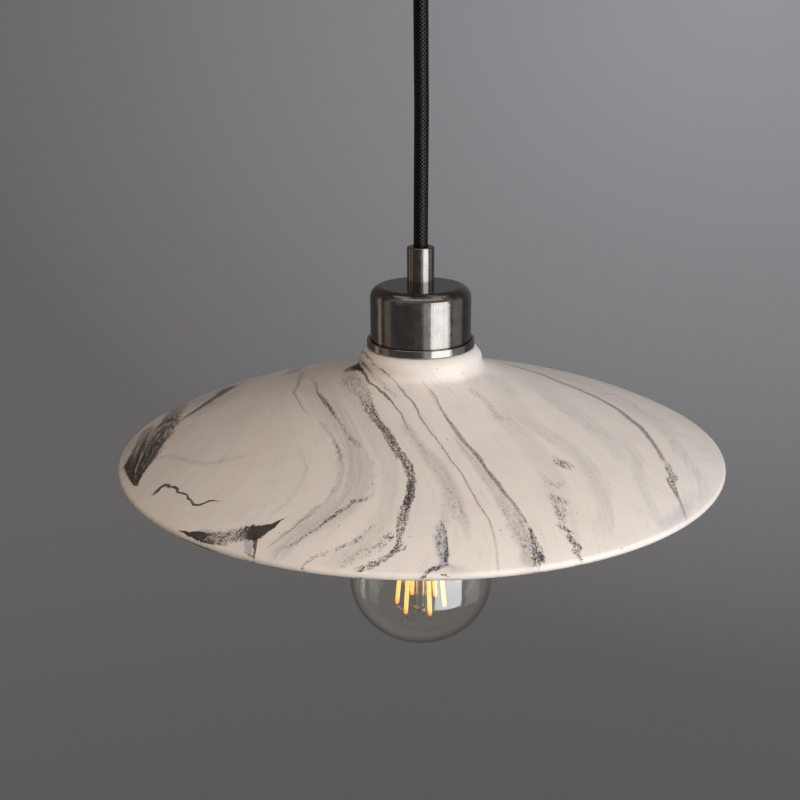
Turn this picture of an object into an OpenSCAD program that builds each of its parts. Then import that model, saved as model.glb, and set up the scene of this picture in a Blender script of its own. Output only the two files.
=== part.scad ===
// Ceramic pendant light: a wide clay shade on a lampholder that hangs by a fabric cable from a ceiling canopy.
// Millimetres. +Z is up and the origin is on the ceiling, above the cable. The light is seen from -Y.

/* [Ceramic shade] */
// Outer diameter of the shade
shade_d = 280; // [250:5:320]
// Drop from the top of the neck to the middle of the rounded rim
shade_drop = 50.3; // [44:0.1:58]
// Thickness of the wall and of the rounded rim
shade_wall = 3.8; // [3:0.1:5]
// Slope of the face where it leaves the neck, in degrees
neck_slope = 21.3; // [17:0.1:25]
// Slope of the face where it meets the rim, in degrees
rim_slope = 29.4; // [24:0.1:34]
// How far the neck's slope pulls the face's curve
neck_pull = 48.7; // [35:0.1:55]
// How far the rim's slope pulls the face's curve
rim_pull = 32.8; // [22:0.1:42]
// Width of neck that stands out past the metal tray
neck_overhang = 3.55; // [2.5:0.05:6]
// Thickness of the solid neck, down to the flat landing for the gasket
neck_thickness = 12; // [10:0.1:14]
// Rounding of the neck's top edge
neck_shoulder = 5.8; // [4:0.1:6.5]
// Straight side of the neck below its rounded edge
neck_side = 0.2; // [0.2:0.1:4]
// Hollow fillet at the foot of the neck
neck_fillet = 4.5; // [2:0.1:6]

/* [Cable and cord grips] */
// Diameter of the round fabric cable
cable_d = 6.5; // [5.5:0.1:7]
// Diameter of one insulated core
core_d = 2.3; // [1.8:0.1:2.4]
// Diameter of the cord grips
grip_d = 12.4; // [12:0.1:16]
// Length of the cord grips
grip_length = 17.8; // [16:0.1:24]
// Play between the cable and the grip's bore
grip_play = 0.35; // [0.3:0.01:0.5]
// Diameter of the hollow threaded nipples
nipple_d = 9.9; // [9.5:0.1:10.5]
// Depth of nipple inside a grip
nipple_grip = 7.8; // [6:0.1:8.5]
// Height of the lock nuts
nut_height = 3; // [2.5:0.1:4]
// Width across flats of the lock nuts
nut_width = 14; // [13:0.1:16]

/* [Canopy and bracket] */
// Outer diameter of the canopy
canopy_d = 100; // [90:1:120]
// Height of the canopy
canopy_height = 25; // [24:0.5:32]
// Sheet thickness of the canopy
canopy_wall = 1.2; // [0.8:0.1:1.6]
// Outer rounding of the canopy's lower edge
canopy_round = 7; // [3:0.5:9]
// Width of the ceiling bracket
bracket_width = 18; // [16:0.5:22]
// Thickness of the bracket
bracket_thickness = 1.5; // [1.2:0.1:2]
// Height of the bracket's turned-down ears
ear_height = 14; // [12:0.5:17]
// Distance between the two ceiling screw slots
slot_spacing = 50.8; // [50:0.1:56]
// Width of a slot
slot_width = 5; // [4.5:0.1:6]
// Length of a slot from end to end
slot_length = 12; // [9:0.5:13]
// Diameter of the canopy's side screws
side_screw_d = 3.9; // [3:0.1:4.5]
// Height of the side screws below the ceiling
side_screw_drop = 8; // [6:0.1:10]
// Diameter of the side screws' heads
side_head_d = 8; // [7:0.1:10]

/* [Cup and tray] */
// Diameter of the metal cup over the lampholder
cup_d = 46.2; // [45:0.1:52]
// Height of the cup
cup_height = 27; // [26:0.1:32]
// Sheet thickness of the cup
cup_wall = 1; // [0.8:0.1:1.4]
// Outer rounding of the cup's top edge
cup_round = 5.4; // [3:0.1:7]
// Play between the cup and the tray's lip
cup_play = 0.35; // [0.2:0.01:0.6]
// Thickness of the tray's lip
tray_lip = 1.3; // [1:0.1:2]
// Height of the tray
tray_height = 3.6; // [3:0.1:5]
// Thickness of the tray's floor
tray_floor = 1.2; // [1:0.1:2]

/* [Lampholder] */
// Outer diameter of the threaded skirt
skirt_d = 39.5; // [38.5:0.1:40]
// Wall of the skirt
skirt_wall = 1.85; // [1.6:0.05:2.1]
// Reach of the skirt below the neck's top
skirt_drop = 35; // [33:0.1:36]
// Height of the seam between the cap and the skirt, above the neck's top
seam_height = 4; // [3:0.1:5]
// Outer diameter of the cap
cap_d = 38.6; // [38.2:0.1:40]
// Wall of the cap
cap_wall = 2; // [1.6:0.1:2.2]
// Play between the skirt and the shade's hole
hole_play = 0.65; // [0.4:0.05:1]
// Width of the gasket and of the retaining ring's flange
ring_bearing = 5.6; // [4.5:0.1:6]
// Thickness of the gasket
gasket_thickness = 1.2; // [0.8:0.1:2]
// Height of the retaining ring
ring_height = 6; // [5:0.1:8]
// Number of finger notches round the retaining ring
ring_notches = 20; // [12:1:28]
// Inner diameter of the lamp socket's screw shell
shell_d = 26.7; // [26.6:0.1:27]
// Sheet thickness of the screw shell
shell_wall = 0.5; // [0.4:0.1:0.6]

/* [Bulb] */
// Widest diameter of the bulb
bulb_d = 69; // [64:0.5:75]
// Length of the bulb with its cap
bulb_length = 138.5; // [132:0.5:145]
// Height of the bulb's round end below its widest level
bulb_crown = 31; // [28:0.5:36]
// Thickness of the glass
glass_wall = 1; // [0.7:0.1:1.2]
// Diameter of the bulb's screw cap
bulb_cap_d = 26; // [25.6:0.1:26.1]
// Length of the screw cap with its contact
bulb_cap_length = 27; // [26:0.1:28]
// Number of filaments
filament_count = 6; // [4:1:8]
// Length of a filament
filament_length = 42; // [34:0.5:46]
// Diameter of a filament
filament_d = 1.8; // [1.4:0.1:2.2]
// Diameter of the circle through the filaments' lower ends
filament_circle = 24; // [18:0.5:26]
// Diameter of the circle through the filaments' upper ends
filament_top_circle = 16; // [14:0.5:20]

/* [Hidden] */
$fn = 64;

// Clearances
// Gap between pieces that seat but don't touch
seat_gap = 0.3;
// Gap round a screw or nipple in its thread
thread_gap = 0.05;
// Gap round a screw in a plain hole
screw_gap = 0.2;
// Gap between the sheath's end and the cores
core_gap = 0.25;
// Overlap of a cutting shape past the face that it cuts
cut = 1;

// Route of the free cable, from the upper grip's mouth to the lower grip's mouth
cable_route = [[0, 0, 0], [0.1, 0, -15], [0.2, 0, -30], [0.3, 0, -45], [0.4, 0, -60],
    [0.3, 0, -75], [0.2, 0, -90], [0.1, 0, -105], [0, 0, -120]];
cable_length = -cable_route[len(cable_route) - 1][2];
// Fineness of the cable's sides, and of a core's
cable_sides = 12;
core_sides = 8;

// Radii
shade_r = shade_d / 2;
cable_r = cable_d / 2;
core_r = core_d / 2;
grip_r = grip_d / 2;
bore_r = cable_r + grip_play;
nipple_r = nipple_d / 2;
canopy_r = canopy_d / 2;
cup_r = cup_d / 2;
tray_inner_r = cup_r + cup_play;
tray_r = tray_inner_r + tray_lip;
neck_r = tray_r + neck_overhang;
skirt_r = skirt_d / 2;
skirt_inner_r = skirt_r - skirt_wall;
hole_r = skirt_r + hole_play;
neck_flat = 1;
shoulder_r = min(neck_shoulder, neck_r - hole_r - neck_flat);
flange_r = hole_r + ring_bearing;
cap_r = cap_d / 2;
cap_inner_r = cap_r - cap_wall;
shell_r = shell_d / 2 + shell_wall;
bulb_r = bulb_d / 2;
bulb_cap_r = bulb_cap_d / 2;
filament_r = filament_d / 2;

// Levels below the ceiling
z_plate = -canopy_height;
z_mouth_top = z_plate - grip_length;
z_mouth_bottom = z_mouth_top - cable_length;
z_cup_top = z_mouth_bottom - grip_length;
z_seat = z_cup_top - cup_height - tray_floor;

// Levels of the lower light, measured from the neck's top
cap_top = cup_height + tray_floor - cup_wall;
cap_plate = 2.5;
nut_low = cap_top - cap_plate - nut_height;
nipple_low = nut_low - 0.5;
sheath_low = nipple_low - 2.2;
insert_top = 8;
insert_low = -28;
insert_plate_low = -5;
flange_height = 2;
contact_sheet = 0.5;
contact_reach = 4.7;
bulb_tip = insert_plate_low - contact_reach - seat_gap;
bulb_low = bulb_tip - bulb_length;
bulb_waist = bulb_low + bulb_crown;
bulb_cap_low = bulb_tip - bulb_cap_length;

// Canopy inside, measured from the ceiling
sheath_top = z_plate + 10;
ear_gap = 0.4;
ear_face = sqrt(pow(canopy_r - canopy_wall, 2) - pow(bracket_width / 2, 2)) - ear_gap;
block_near = 8;
block_far = 19;
block_height = 11;
block_pitch = 10;
block_width = 20;
wire_level = -bracket_thickness - block_height / 2;
sleeve_r = 2.3;
sleeve_bore_r = 1.5;
earth_near = -10;
earth_far = -18;
earth_width = 8;
earth_height = 9;

// Places of the three cores in the sheath
core_circle = 1.9;
core_places = [for (a = [90, 210, 330]) core_circle * [cos(a), sin(a), 0]];

// Screws of the grips, the terminal block and the earth terminals
grip_screw_r = 1.5;
grip_screw_level = grip_length - cable_r - 2 * grip_screw_r - 0.4;
block_screw_r = 1.45;
way_screw_r = 1.25;
way_screws = [11, 16];
earth_screw_r = 1.7;

// Terminals on the holder's insert
terminal_near = 7.5;
terminal_length = 6;
terminal_width = 7;
terminal_height = 6;
terminal_angles = [90, 180, 0];
insert_r = skirt_inner_r - 0.2;
insert_flange_r = skirt_r - 1;

// Outer face of the shade from the neck's foot to the rim, as a curve
rim_r = shade_wall / 2;
rim_centre = [shade_r - rim_r, -shade_drop];
foot_centre = [neck_r + neck_fillet, -shoulder_r - neck_side];
face_start = foot_centre - neck_fillet * [sin(neck_slope), cos(neck_slope)];
face_end = rim_centre + rim_r * [sin(rim_slope), cos(rim_slope)];
face = [face_start, face_start + neck_pull * [cos(neck_slope), -sin(neck_slope)],
    face_end - rim_pull * [cos(rim_slope), -sin(rim_slope)], face_end];
face_steps = 28;

// Bulb, with levels measured from the neck's top
contact_height = 1.2;
tip_gap = 0.1;
insulator_low = bulb_tip - 5.5;
driver_level = insulator_low - 6;
cap_sheet = 0.4;
neck_join = bulb_cap_low - 2.5;
glass_neck_r = bulb_cap_r - cap_sheet - seat_gap;
neck_out_r = bulb_cap_r + 1.6;
glass_curve = [[neck_out_r, neck_join], [neck_out_r + 1.2, neck_join - 26.5], [bulb_r, bulb_waist + 29.5],
    [bulb_r, bulb_waist]];
glass_steps = 16;
flare_top = neck_join - 0.6;
stem_r = 2.4;
crown_r = stem_r + 1;
bulb_wire_r = 0.35;
bulb_wire_sides = 8;
lead_spread = 5.5;
filament_low = bulb_low + 14.9;
filament_drop = sqrt(pow(filament_length, 2) - pow((filament_circle - filament_top_circle) / 2, 2));
filament_high = filament_low + filament_drop;
filament_top = [filament_top_circle / 2, 0, filament_high];
filament_foot = [filament_circle / 2, 0, filament_low];
crown_rise = 4;
stem_low = filament_low - 2.5;
first_filament = -8;

// Helpers
function unit(v) = v / norm(v);
function arc(centre, r, from, to, steps = 8) =
    [for (i = [0:steps]) let (a = from + (to - from) * i / steps) centre + r * [cos(a), sin(a)]];
function bezier(p, t) =
    pow(1 - t, 3) * p[0] + 3 * pow(1 - t, 2) * t * p[1] + 3 * (1 - t) * t * t * p[2] + pow(t, 3) * p[3];
function bezier_direction(p, t) =
    unit(pow(1 - t, 2) * (p[1] - p[0]) + 2 * (1 - t) * t * (p[2] - p[1]) + t * t * (p[3] - p[2]));
function beside(p, t, off) = let (d = bezier_direction(p, t)) bezier(p, t) + off * [d[1], -d[0]];
function reversed(list) = [for (i = [len(list) - 1:-1:0]) list[i]];

// Sweep of a round tube along a route, square to its first and last stretch
function directions(route) =
    [for (i = [0:len(route) - 1]) unit(route[min(i + 1, len(route) - 1)] - route[max(i - 1, 0)])];
function sideways(dirs, side, i = 0) =
    i == len(dirs) ? [] :
    let (s = unit(side - (side * dirs[i]) * dirs[i])) concat([s], sideways(dirs, s, i + 1));
function circle_at(centre, dir, side, r, sides) =
    [for (k = [0:sides - 1]) let (a = 360 * k / sides) centre + r * (cos(a) * side + sin(a) * cross(dir, side))];

module tube(route, radii, sides, side) {
    dirs = directions(route);
    across = sideways(dirs, side);
    last = len(route) - 1;
    points = [for (i = [0:last]) each circle_at(route[i], dirs[i], across[i], radii[i], sides)];
    walls = [for (i = [0:last - 1], k = [0:sides - 1])
        let (a = i * sides + k, b = i * sides + (k + 1) % sides)
        each [[a, a + sides, b + sides], [a, b + sides, b]]];
    start_cap = [for (k = [1:sides - 2]) [0, k, k + 1]];
    end_cap = [for (k = [1:sides - 2]) [last * sides, last * sides + k + 1, last * sides + k]];
    polyhedron(points, concat(walls, start_cap, end_cap));
}

module core(route, tint) {
    color(tint) tube(route, [for (p = route) core_r], core_sides, [0, 0.3, 1]);
}

// Rod between two points
module rod(from, to, r) {
    along = to - from;
    translate(from)
        rotate([0, acos(along[2] / norm(along)), atan2(along[1], along[0])])
            cylinder(h = norm(along), r = r, $fn = 16);
}

// Thin wire inside the bulb
module bulb_wire(route) {
    tube(route, [for (p = route) bulb_wire_r], bulb_wire_sides, [0.2, 1, 0.1]);
}

module around(count) {
    for (i = [0:count - 1])
        rotate([0, 0, 360 * i / count])
            children();
}

// Cup open at its lower end: height, outer radius, wall and rounding of its closed end
function cup_profile(height, r, wall, rounding, hole) = concat(
    [[hole, height]],
    arc([r - rounding, height - rounding], rounding, 90, 0),
    [[r, 0], [r - wall, 0]],
    arc([r - rounding, height - rounding], rounding - wall, 0, 90),
    [[hole, height - wall]]);

// Cord grip with its base at 0 and its mouth up
module grip_shape() {
    edge = 0.6;
    difference() {
        rotate_extrude()
            polygon(concat(
                [[nipple_r + thread_gap, 0], [grip_r, 0]],
                arc([grip_r - edge, grip_length - edge], edge, 0, 90, 4),
                [[bore_r + edge, grip_length], [bore_r, grip_length - edge], [bore_r, nipple_grip + seat_gap],
                    [nipple_r + thread_gap, nipple_grip + seat_gap]]));
        translate([0, 0, grip_screw_level])
            rotate([-90, 0, 0])
                cylinder(h = grip_r + cut, r = grip_screw_r);
    }
}

// Slotted screw that presses on the cable inside a grip
module grip_screw_shape() {
    near = cable_r + thread_gap;
    far = sqrt(pow(grip_r, 2) - pow(grip_screw_r, 2)) - 0.1;
    slot = 0.6;
    translate([0, 0, grip_screw_level])
        rotate([-90, 0, 0])
            difference() {
                translate([0, 0, near])
                    cylinder(h = far - near, r = grip_screw_r - thread_gap);
                translate([-slot / 2, -grip_screw_r, far - slot])
                    cube([slot, 2 * grip_screw_r, slot + cut]);
            }
}

module nipple_shape(length) {
    difference() {
        cylinder(h = length, r = nipple_r);
        translate([0, 0, -cut])
            cylinder(h = length + 2 * cut, r = bore_r);
    }
}

module nut_shape() {
    difference() {
        cylinder(h = nut_height, r = nut_width / 2 / cos(30), $fn = 6);
        translate([0, 0, -cut])
            cylinder(h = nut_height + 2 * cut, r = nipple_r + thread_gap);
    }
}

// Ceiling end
module ceiling_bracket() {
    bend = 2.4;
    t = bracket_thickness;
    slot_straight = slot_length - slot_width;
    profile = concat(
        [[-ear_face, -ear_height]],
        arc([-ear_face + bend, -bend], bend, 180, 90, 4),
        arc([ear_face - bend, -bend], bend, 90, 0, 4),
        [[ear_face, -ear_height], [ear_face - t, -ear_height]],
        arc([ear_face - bend, -bend], bend - t, 0, 90, 4),
        arc([-ear_face + bend, -bend], bend - t, 90, 180, 4),
        [[-ear_face + t, -ear_height]]);
    color("lightsteelblue")
        difference() {
            rotate([90, 0, 0])
                translate([0, 0, -bracket_width / 2])
                    linear_extrude(bracket_width)
                        polygon(profile);
            for (side = [-1, 1])
                translate([side * slot_spacing / 2, 0, -t - cut])
                    for (end = [-1, 1]) {
                        translate([end * slot_straight / 2, 0, 0])
                            cylinder(h = t + 2 * cut, r = slot_width / 2);
                        translate([-slot_straight / 2, -slot_width / 2, 0])
                            cube([slot_straight, slot_width, t + 2 * cut]);
                    }
            for (side = [-1, 1])
                translate([side * (ear_face - t - cut), 0, -side_screw_drop])
                    rotate([0, side * 90, 0])
                        cylinder(h = t + 2 * cut, r = side_screw_d / 2 + thread_gap);
            translate([(block_near + block_far) / 2, 0, -t - cut])
                cylinder(h = t + 2 * cut, r = block_screw_r + thread_gap);
        }
}

module canopy() {
    color("#8d8984")
        difference() {
            rotate([180, 0, 0])
                rotate_extrude()
                    polygon(cup_profile(canopy_height, canopy_r, canopy_wall, canopy_round, nipple_r + screw_gap));
            for (side = [-1, 1])
                translate([side * (canopy_r - canopy_wall - cut), 0, -side_screw_drop])
                    rotate([0, side * 90, 0])
                        cylinder(h = canopy_wall + 2 * cut, r = side_screw_d / 2 + screw_gap);
        }
}

module canopy_side_screws() {
    tip = ear_face - bracket_thickness - 2;
    head = 3.6;
    edge = 1;
    color("#8d8984")
        for (side = [-1, 1])
            translate([0, 0, -side_screw_drop])
                rotate([0, side * 90, 0])
                    rotate_extrude()
                        polygon(concat(
                            [[0, tip], [side_screw_d / 2, tip], [side_screw_d / 2, canopy_r], [side_head_d / 2, canopy_r]],
                            arc([side_head_d / 2 - edge, canopy_r + head - edge], edge, 0, 90, 4),
                            [[0, canopy_r + head]]));
}

module terminal_block() {
    edge = 1;
    color("white")
        difference() {
            translate([block_near, 0, -bracket_thickness])
                rotate([90, 0, 90])
                    linear_extrude(block_far - block_near)
                        polygon([[-block_width / 2, 0], [block_width / 2, 0],
                            [block_width / 2, -block_height + edge], [block_width / 2 - edge, -block_height],
                            [-block_width / 2 + edge, -block_height], [-block_width / 2, -block_height + edge]]);
            for (way = [-1, 1]) {
                translate([block_near - cut, way * block_pitch / 2, wire_level])
                    rotate([0, 90, 0])
                        cylinder(h = block_far - block_near + 2 * cut, r = sleeve_r + thread_gap);
                for (x = way_screws)
                    translate([x, way * block_pitch / 2, -bracket_thickness - block_height - cut])
                        cylinder(h = block_height / 2 + cut, r = way_screw_r + 0.6);
            }
            translate([(block_near + block_far) / 2, 0, -bracket_thickness - block_height - cut])
                cylinder(h = block_height + 2 * cut, r = block_screw_r + screw_gap);
        }
}

module terminal_block_sleeves() {
    color("goldenrod")
        for (way = [-1, 1])
            difference() {
                translate([block_near + 0.5, way * block_pitch / 2, wire_level])
                    rotate([0, 90, 0])
                        difference() {
                            cylinder(h = block_far - block_near - 1, r = sleeve_r);
                            translate([0, 0, -cut])
                                cylinder(h = block_far - block_near + 2 * cut, r = sleeve_bore_r);
                        }
                for (x = way_screws)
                    translate([x, way * block_pitch / 2, wire_level - sleeve_r - cut])
                        cylinder(h = sleeve_r + cut, r = way_screw_r + thread_gap);
            }
}

module terminal_block_screws() {
    tip = wire_level - core_r - thread_gap;
    low = -bracket_thickness - block_height + 0.2;
    color("silver")
        for (way = [-1, 1], x = way_screws)
            translate([x, way * block_pitch / 2, 0]) {
                translate([0, 0, low])
                    cylinder(h = tip - low, r = way_screw_r);
                translate([0, 0, low])
                    cylinder(h = 1.2, r = way_screw_r + 0.4);
            }
}

module terminal_block_fixing_screw() {
    low = -bracket_thickness - block_height;
    color("silver")
        translate([(block_near + block_far) / 2, 0, 0]) {
            translate([0, 0, low])
                cylinder(h = -low - 0.1, r = block_screw_r);
            translate([0, 0, low - 1.6])
                cylinder(h = 1.6, r = 2.8);
        }
}

module bracket_earth_terminal() {
    color("goldenrod")
        difference() {
            translate([earth_far, -earth_width / 2, -bracket_thickness - earth_height])
                cube([earth_near - earth_far, earth_width, earth_height]);
            translate([earth_far - cut, 0, wire_level])
                rotate([0, 90, 0])
                    cylinder(h = earth_near - earth_far + 2 * cut, r = sleeve_bore_r);
            translate([(earth_near + earth_far) / 2, 0, -bracket_thickness - earth_height - cut])
                cylinder(h = earth_height / 2 + cut, r = earth_screw_r + thread_gap);
        }
}

module bracket_earth_screw() {
    tip = wire_level - core_r - thread_gap;
    low = -bracket_thickness - earth_height;
    color("silver")
        translate([(earth_near + earth_far) / 2, 0, 0]) {
            translate([0, 0, low])
                cylinder(h = tip - low, r = earth_screw_r);
            translate([0, 0, low - 1.8])
                cylinder(h = 1.8, r = 3);
        }
}

module canopy_grip() {
    color("#8d8984")
        translate([0, 0, z_plate])
            mirror([0, 0, 1])
                grip_shape();
}

module canopy_grip_screw() {
    color("#6f6b66")
        translate([0, 0, z_plate])
            mirror([0, 0, 1])
                grip_screw_shape();
}

module canopy_nipple() {
    color("silver")
        translate([0, 0, z_plate - nipple_grip])
            nipple_shape(nipple_grip + canopy_wall + nut_height + 1);
}

module canopy_lock_nut() {
    color("silver")
        translate([0, 0, z_plate + canopy_wall])
            nut_shape();
}

module canopy_cable_end() {
    low = z_mouth_top + cable_r + seat_gap;
    color("#1c1b1b")
        translate([0, 0, low])
            cylinder(h = sheath_top - low, r = cable_r);
}

// Cores in the canopy, each from the sheath's end into its terminal
module canopy_live_core() {
    from = [0, 0, sheath_top + core_gap];
    to = [block_near, block_pitch / 2, wire_level];
    core([from + core_places[0], from + [0.2, 2, 2], from + [1, 2.6, 4.4], to - [4.6, 1.2, 1.2],
        to - [2, 0.2, 0.1], to, to + [2.4, 0, 0]], "saddlebrown");
}

module canopy_neutral_core() {
    from = [0, 0, sheath_top + core_gap];
    to = [block_near, -block_pitch / 2, wire_level];
    core([from + core_places[2], from + [1.8, -1, 2], from + [2.4, -1.8, 4.4], to - [3.6, -1.4, 1.2],
        to - [1.6, -0.2, 0.1], to, to + [2.4, 0, 0]], "royalblue");
}

module canopy_earth_core() {
    from = [0, 0, sheath_top + core_gap];
    to = [earth_near, 0, wire_level];
    core([from + core_places[1], from + [-1.8, -0.9, 2], from + [-2.6, -0.8, 4.4], to + [4.4, -0.5, -1.4],
        to + [2, 0, -0.1], to, to - [3.4, 0, 0]], "yellowgreen");
}

// Free cable, with a round end on each pivot
module cable() {
    round_steps = [83, 60, 30];
    foot = cable_route[len(cable_route) - 1];
    top_route = [for (a = round_steps) cable_route[0] + [0, 0, cable_r * sin(a)]];
    low_route = [for (a = reversed(round_steps)) foot - [0, 0, cable_r * sin(a)]];
    round_radii = [for (a = round_steps) cable_r * cos(a)];
    color("#1c1b1b")
        translate([0, 0, z_mouth_top])
            tube(concat(top_route, cable_route, low_route),
                concat(round_radii, [for (p = cable_route) cable_r], reversed(round_radii)),
                cable_sides, [1, 0, 0]);
}

// Holder end
module cord_grip() {
    color("#8d8984")
        translate([0, 0, z_cup_top])
            grip_shape();
}

module cord_grip_screw() {
    color("#6f6b66")
        translate([0, 0, z_cup_top])
            grip_screw_shape();
}

module holder_nipple() {
    color("silver")
        translate([0, 0, z_seat + nipple_low])
            nipple_shape(z_cup_top + nipple_grip - z_seat - nipple_low);
}

module holder_lock_nut() {
    color("silver")
        translate([0, 0, z_seat + nut_low])
            nut_shape();
}

module holder_cable_end() {
    top = z_mouth_bottom - cable_r - seat_gap;
    low = z_seat + sheath_low;
    color("#1c1b1b")
        translate([0, 0, low])
            cylinder(h = top - low, r = cable_r);
}

// Route of a core from the sheath down to the terminal at the given angle
function holder_route(place, angle) =
    let (from = [0, 0, z_seat + sheath_low - core_gap], out = [cos(angle), sin(angle), 0],
        level = insert_top + terminal_height / 2 - sheath_low + core_gap)
    [from + place, from + place * 0.85 + out * 0.5 - [0, 0, 1.6], from + place * 0.5 + out * 2.2 - [0, 0, 3.6],
        from + out * (terminal_near - 2.4) + [0, 0, level + 1.4], from + out * (terminal_near - 0.8) + [0, 0, level],
        from + out * terminal_near + [0, 0, level], from + out * (terminal_near + 1.6) + [0, 0, level]];

module holder_live_core() {
    core(holder_route(core_places[1], terminal_angles[1]), "saddlebrown");
}

module holder_neutral_core() {
    core(holder_route(core_places[2], terminal_angles[2]), "royalblue");
}

module holder_earth_core() {
    core(holder_route(core_places[0], terminal_angles[0]), "yellowgreen");
}

module holder_cup() {
    color("#8d8984")
        translate([0, 0, z_seat + tray_floor])
            rotate_extrude()
                polygon(cup_profile(cup_height, cup_r, cup_wall, cup_round, nipple_r + screw_gap));
}

module shade_tray() {
    edge = 0.4;
    color("#9b968f")
        translate([0, 0, z_seat])
            rotate_extrude()
                polygon(concat(
                    [[hole_r, 0]],
                    arc([tray_r - edge, edge], edge, -90, 0, 3),
                    arc([tray_r - edge, tray_height - edge], edge, 0, 90, 3),
                    [[tray_inner_r, tray_height], [tray_inner_r, tray_floor], [hole_r, tray_floor]]));
}

module ceramic_shade() {
    landing_r = flange_r + 1.5;
    color("#d9d0c4")
        translate([0, 0, z_seat])
            rotate_extrude()
                polygon(concat(
                    [[hole_r, 0]],
                    arc([neck_r - shoulder_r, -shoulder_r], shoulder_r, 90, 0),
                    arc(foot_centre, neck_fillet, 180, 270 - neck_slope, 6),
                    [for (i = [1:face_steps]) bezier(face, i / face_steps)],
                    arc(rim_centre, rim_r, 80 - rim_slope, -80 - rim_slope, 10),
                    [for (i = [face_steps:-1:0]) beside(face, i / face_steps, shade_wall)],
                    [[landing_r, -neck_thickness], [hole_r, -neck_thickness]]));
}

module shade_gasket() {
    color("#2a2a2a")
        translate([0, 0, z_seat - neck_thickness - gasket_thickness])
            difference() {
                cylinder(h = gasket_thickness, r = flange_r);
                translate([0, 0, -cut])
                    cylinder(h = gasket_thickness + 2 * cut, r = hole_r);
            }
}

module retaining_ring() {
    flange = 2;
    notch_r = 1.4;
    body_r = skirt_r + 3.6;
    color("#3a3836")
        translate([0, 0, z_seat - neck_thickness - gasket_thickness - ring_height])
            difference() {
                rotate_extrude()
                    polygon([[skirt_r + thread_gap, 0], [body_r, 0], [body_r, ring_height - flange],
                        [flange_r, ring_height - flange], [flange_r, ring_height],
                        [skirt_r + thread_gap, ring_height]]);
                around(ring_notches)
                    translate([body_r + 0.4, 0, -cut])
                        cylinder(h = ring_height - flange - 0.5 + cut, r = notch_r);
            }
}

module holder_cap() {
    rounding = 7;
    color("#3a3836")
        translate([0, 0, z_seat + seam_height])
            rotate_extrude()
                polygon(concat(
                    [[nipple_r + thread_gap, cap_top - seam_height]],
                    arc([cap_r - rounding, cap_top - seam_height - rounding], rounding, 90, 0),
                    [[cap_r, 0], [cap_inner_r, 0]],
                    arc([cap_r - rounding, cap_top - seam_height - rounding], rounding - cap_wall, 0, 90),
                    [[nipple_r + thread_gap + 4, cap_top - seam_height - cap_wall],
                        [nipple_r + thread_gap + 4, cap_top - seam_height - cap_plate],
                        [nipple_r + thread_gap, cap_top - seam_height - cap_plate]]));
}

module holder_skirt() {
    edge = 0.6;
    color("#3a3836")
        translate([0, 0, z_seat])
            rotate_extrude()
                polygon(concat(
                    arc([skirt_r - edge, -skirt_drop + edge], edge, -90, 0, 3),
                    [[skirt_r, seam_height], [insert_flange_r + thread_gap, seam_height],
                        [insert_flange_r + thread_gap, seam_height - flange_height],
                        [skirt_inner_r, seam_height - flange_height], [skirt_inner_r, -skirt_drop]]));
}

module holder_insert() {
    color("white")
        translate([0, 0, z_seat])
            rotate_extrude()
                polygon([[0, insert_top], [insert_r - 0.8, insert_top], [insert_r - 0.8, seam_height],
                    [insert_flange_r, seam_height], [insert_flange_r, seam_height - flange_height],
                    [insert_r, seam_height - flange_height], [insert_r, insert_low], [shell_r + 0.15, insert_low],
                    [shell_r + 0.15, insert_plate_low], [0, insert_plate_low]]);
}

module screw_shell() {
    lip_r = 9.5;
    inner = shell_d / 2;
    color("goldenrod")
        translate([0, 0, z_seat])
            rotate_extrude()
                polygon([[inner, insert_low + 0.5], [shell_r, insert_low + 0.5], [shell_r, insert_plate_low],
                    [lip_r, insert_plate_low], [lip_r, insert_plate_low - shell_wall],
                    [inner, insert_plate_low - shell_wall]]);
}

// Springy tongue that presses on the bulb's contact
module centre_contact() {
    width = 5;
    t = contact_sheet;
    low = insert_plate_low - contact_reach;
    color("goldenrod")
        translate([0, width / 2, z_seat])
            rotate([90, 0, 0])
                linear_extrude(width)
                    polygon([[-8, insert_plate_low], [-4, insert_plate_low], [0, low + t + 0.6], [2.4, low + t],
                        [4, low + t + 0.8], [4, low + 0.8], [2.4, low], [-0.2, low + 0.5],
                        [-4.3, insert_plate_low - t], [-8, insert_plate_low - t]]);
}

module at_terminals() {
    for (a = terminal_angles)
        translate([0, 0, z_seat + insert_top])
            rotate([0, 0, a])
                translate([terminal_near, 0, 0])
                    children();
}

module holder_terminals() {
    color("goldenrod")
        at_terminals()
            difference() {
                translate([0, -terminal_width / 2, 0])
                    cube([terminal_length, terminal_width, terminal_height]);
                translate([-cut, 0, terminal_height / 2])
                    rotate([0, 90, 0])
                        cylinder(h = terminal_length + 2 * cut, r = sleeve_bore_r);
                translate([terminal_length / 2, 0, terminal_height / 2])
                    cylinder(h = terminal_height, r = earth_screw_r + thread_gap);
            }
}

module holder_terminal_screws() {
    tip = terminal_height / 2 + core_r + thread_gap;
    color("silver")
        at_terminals()
            translate([terminal_length / 2, 0, 0]) {
                translate([0, 0, tip])
                    cylinder(h = terminal_height - tip, r = earth_screw_r);
                translate([0, 0, terminal_height])
                    cylinder(h = 1.4, r = 2.6);
            }
}

module bulb_contact() {
    r = 4.6;
    color("silver")
        translate([0, 0, z_seat + bulb_tip])
            rotate_extrude()
                polygon([[0, 0], [r * 0.6, 0], [r * 0.9, -0.4], [r, -contact_height], [0, -contact_height]]);
}

module bulb_insulator() {
    top = bulb_tip - contact_height - tip_gap;
    color("#222222")
        translate([0, 0, z_seat])
            rotate_extrude()
                polygon([[0, top], [5.2, top], [bulb_cap_r - 1.8, insulator_low], [0, insulator_low]]);
}

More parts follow.
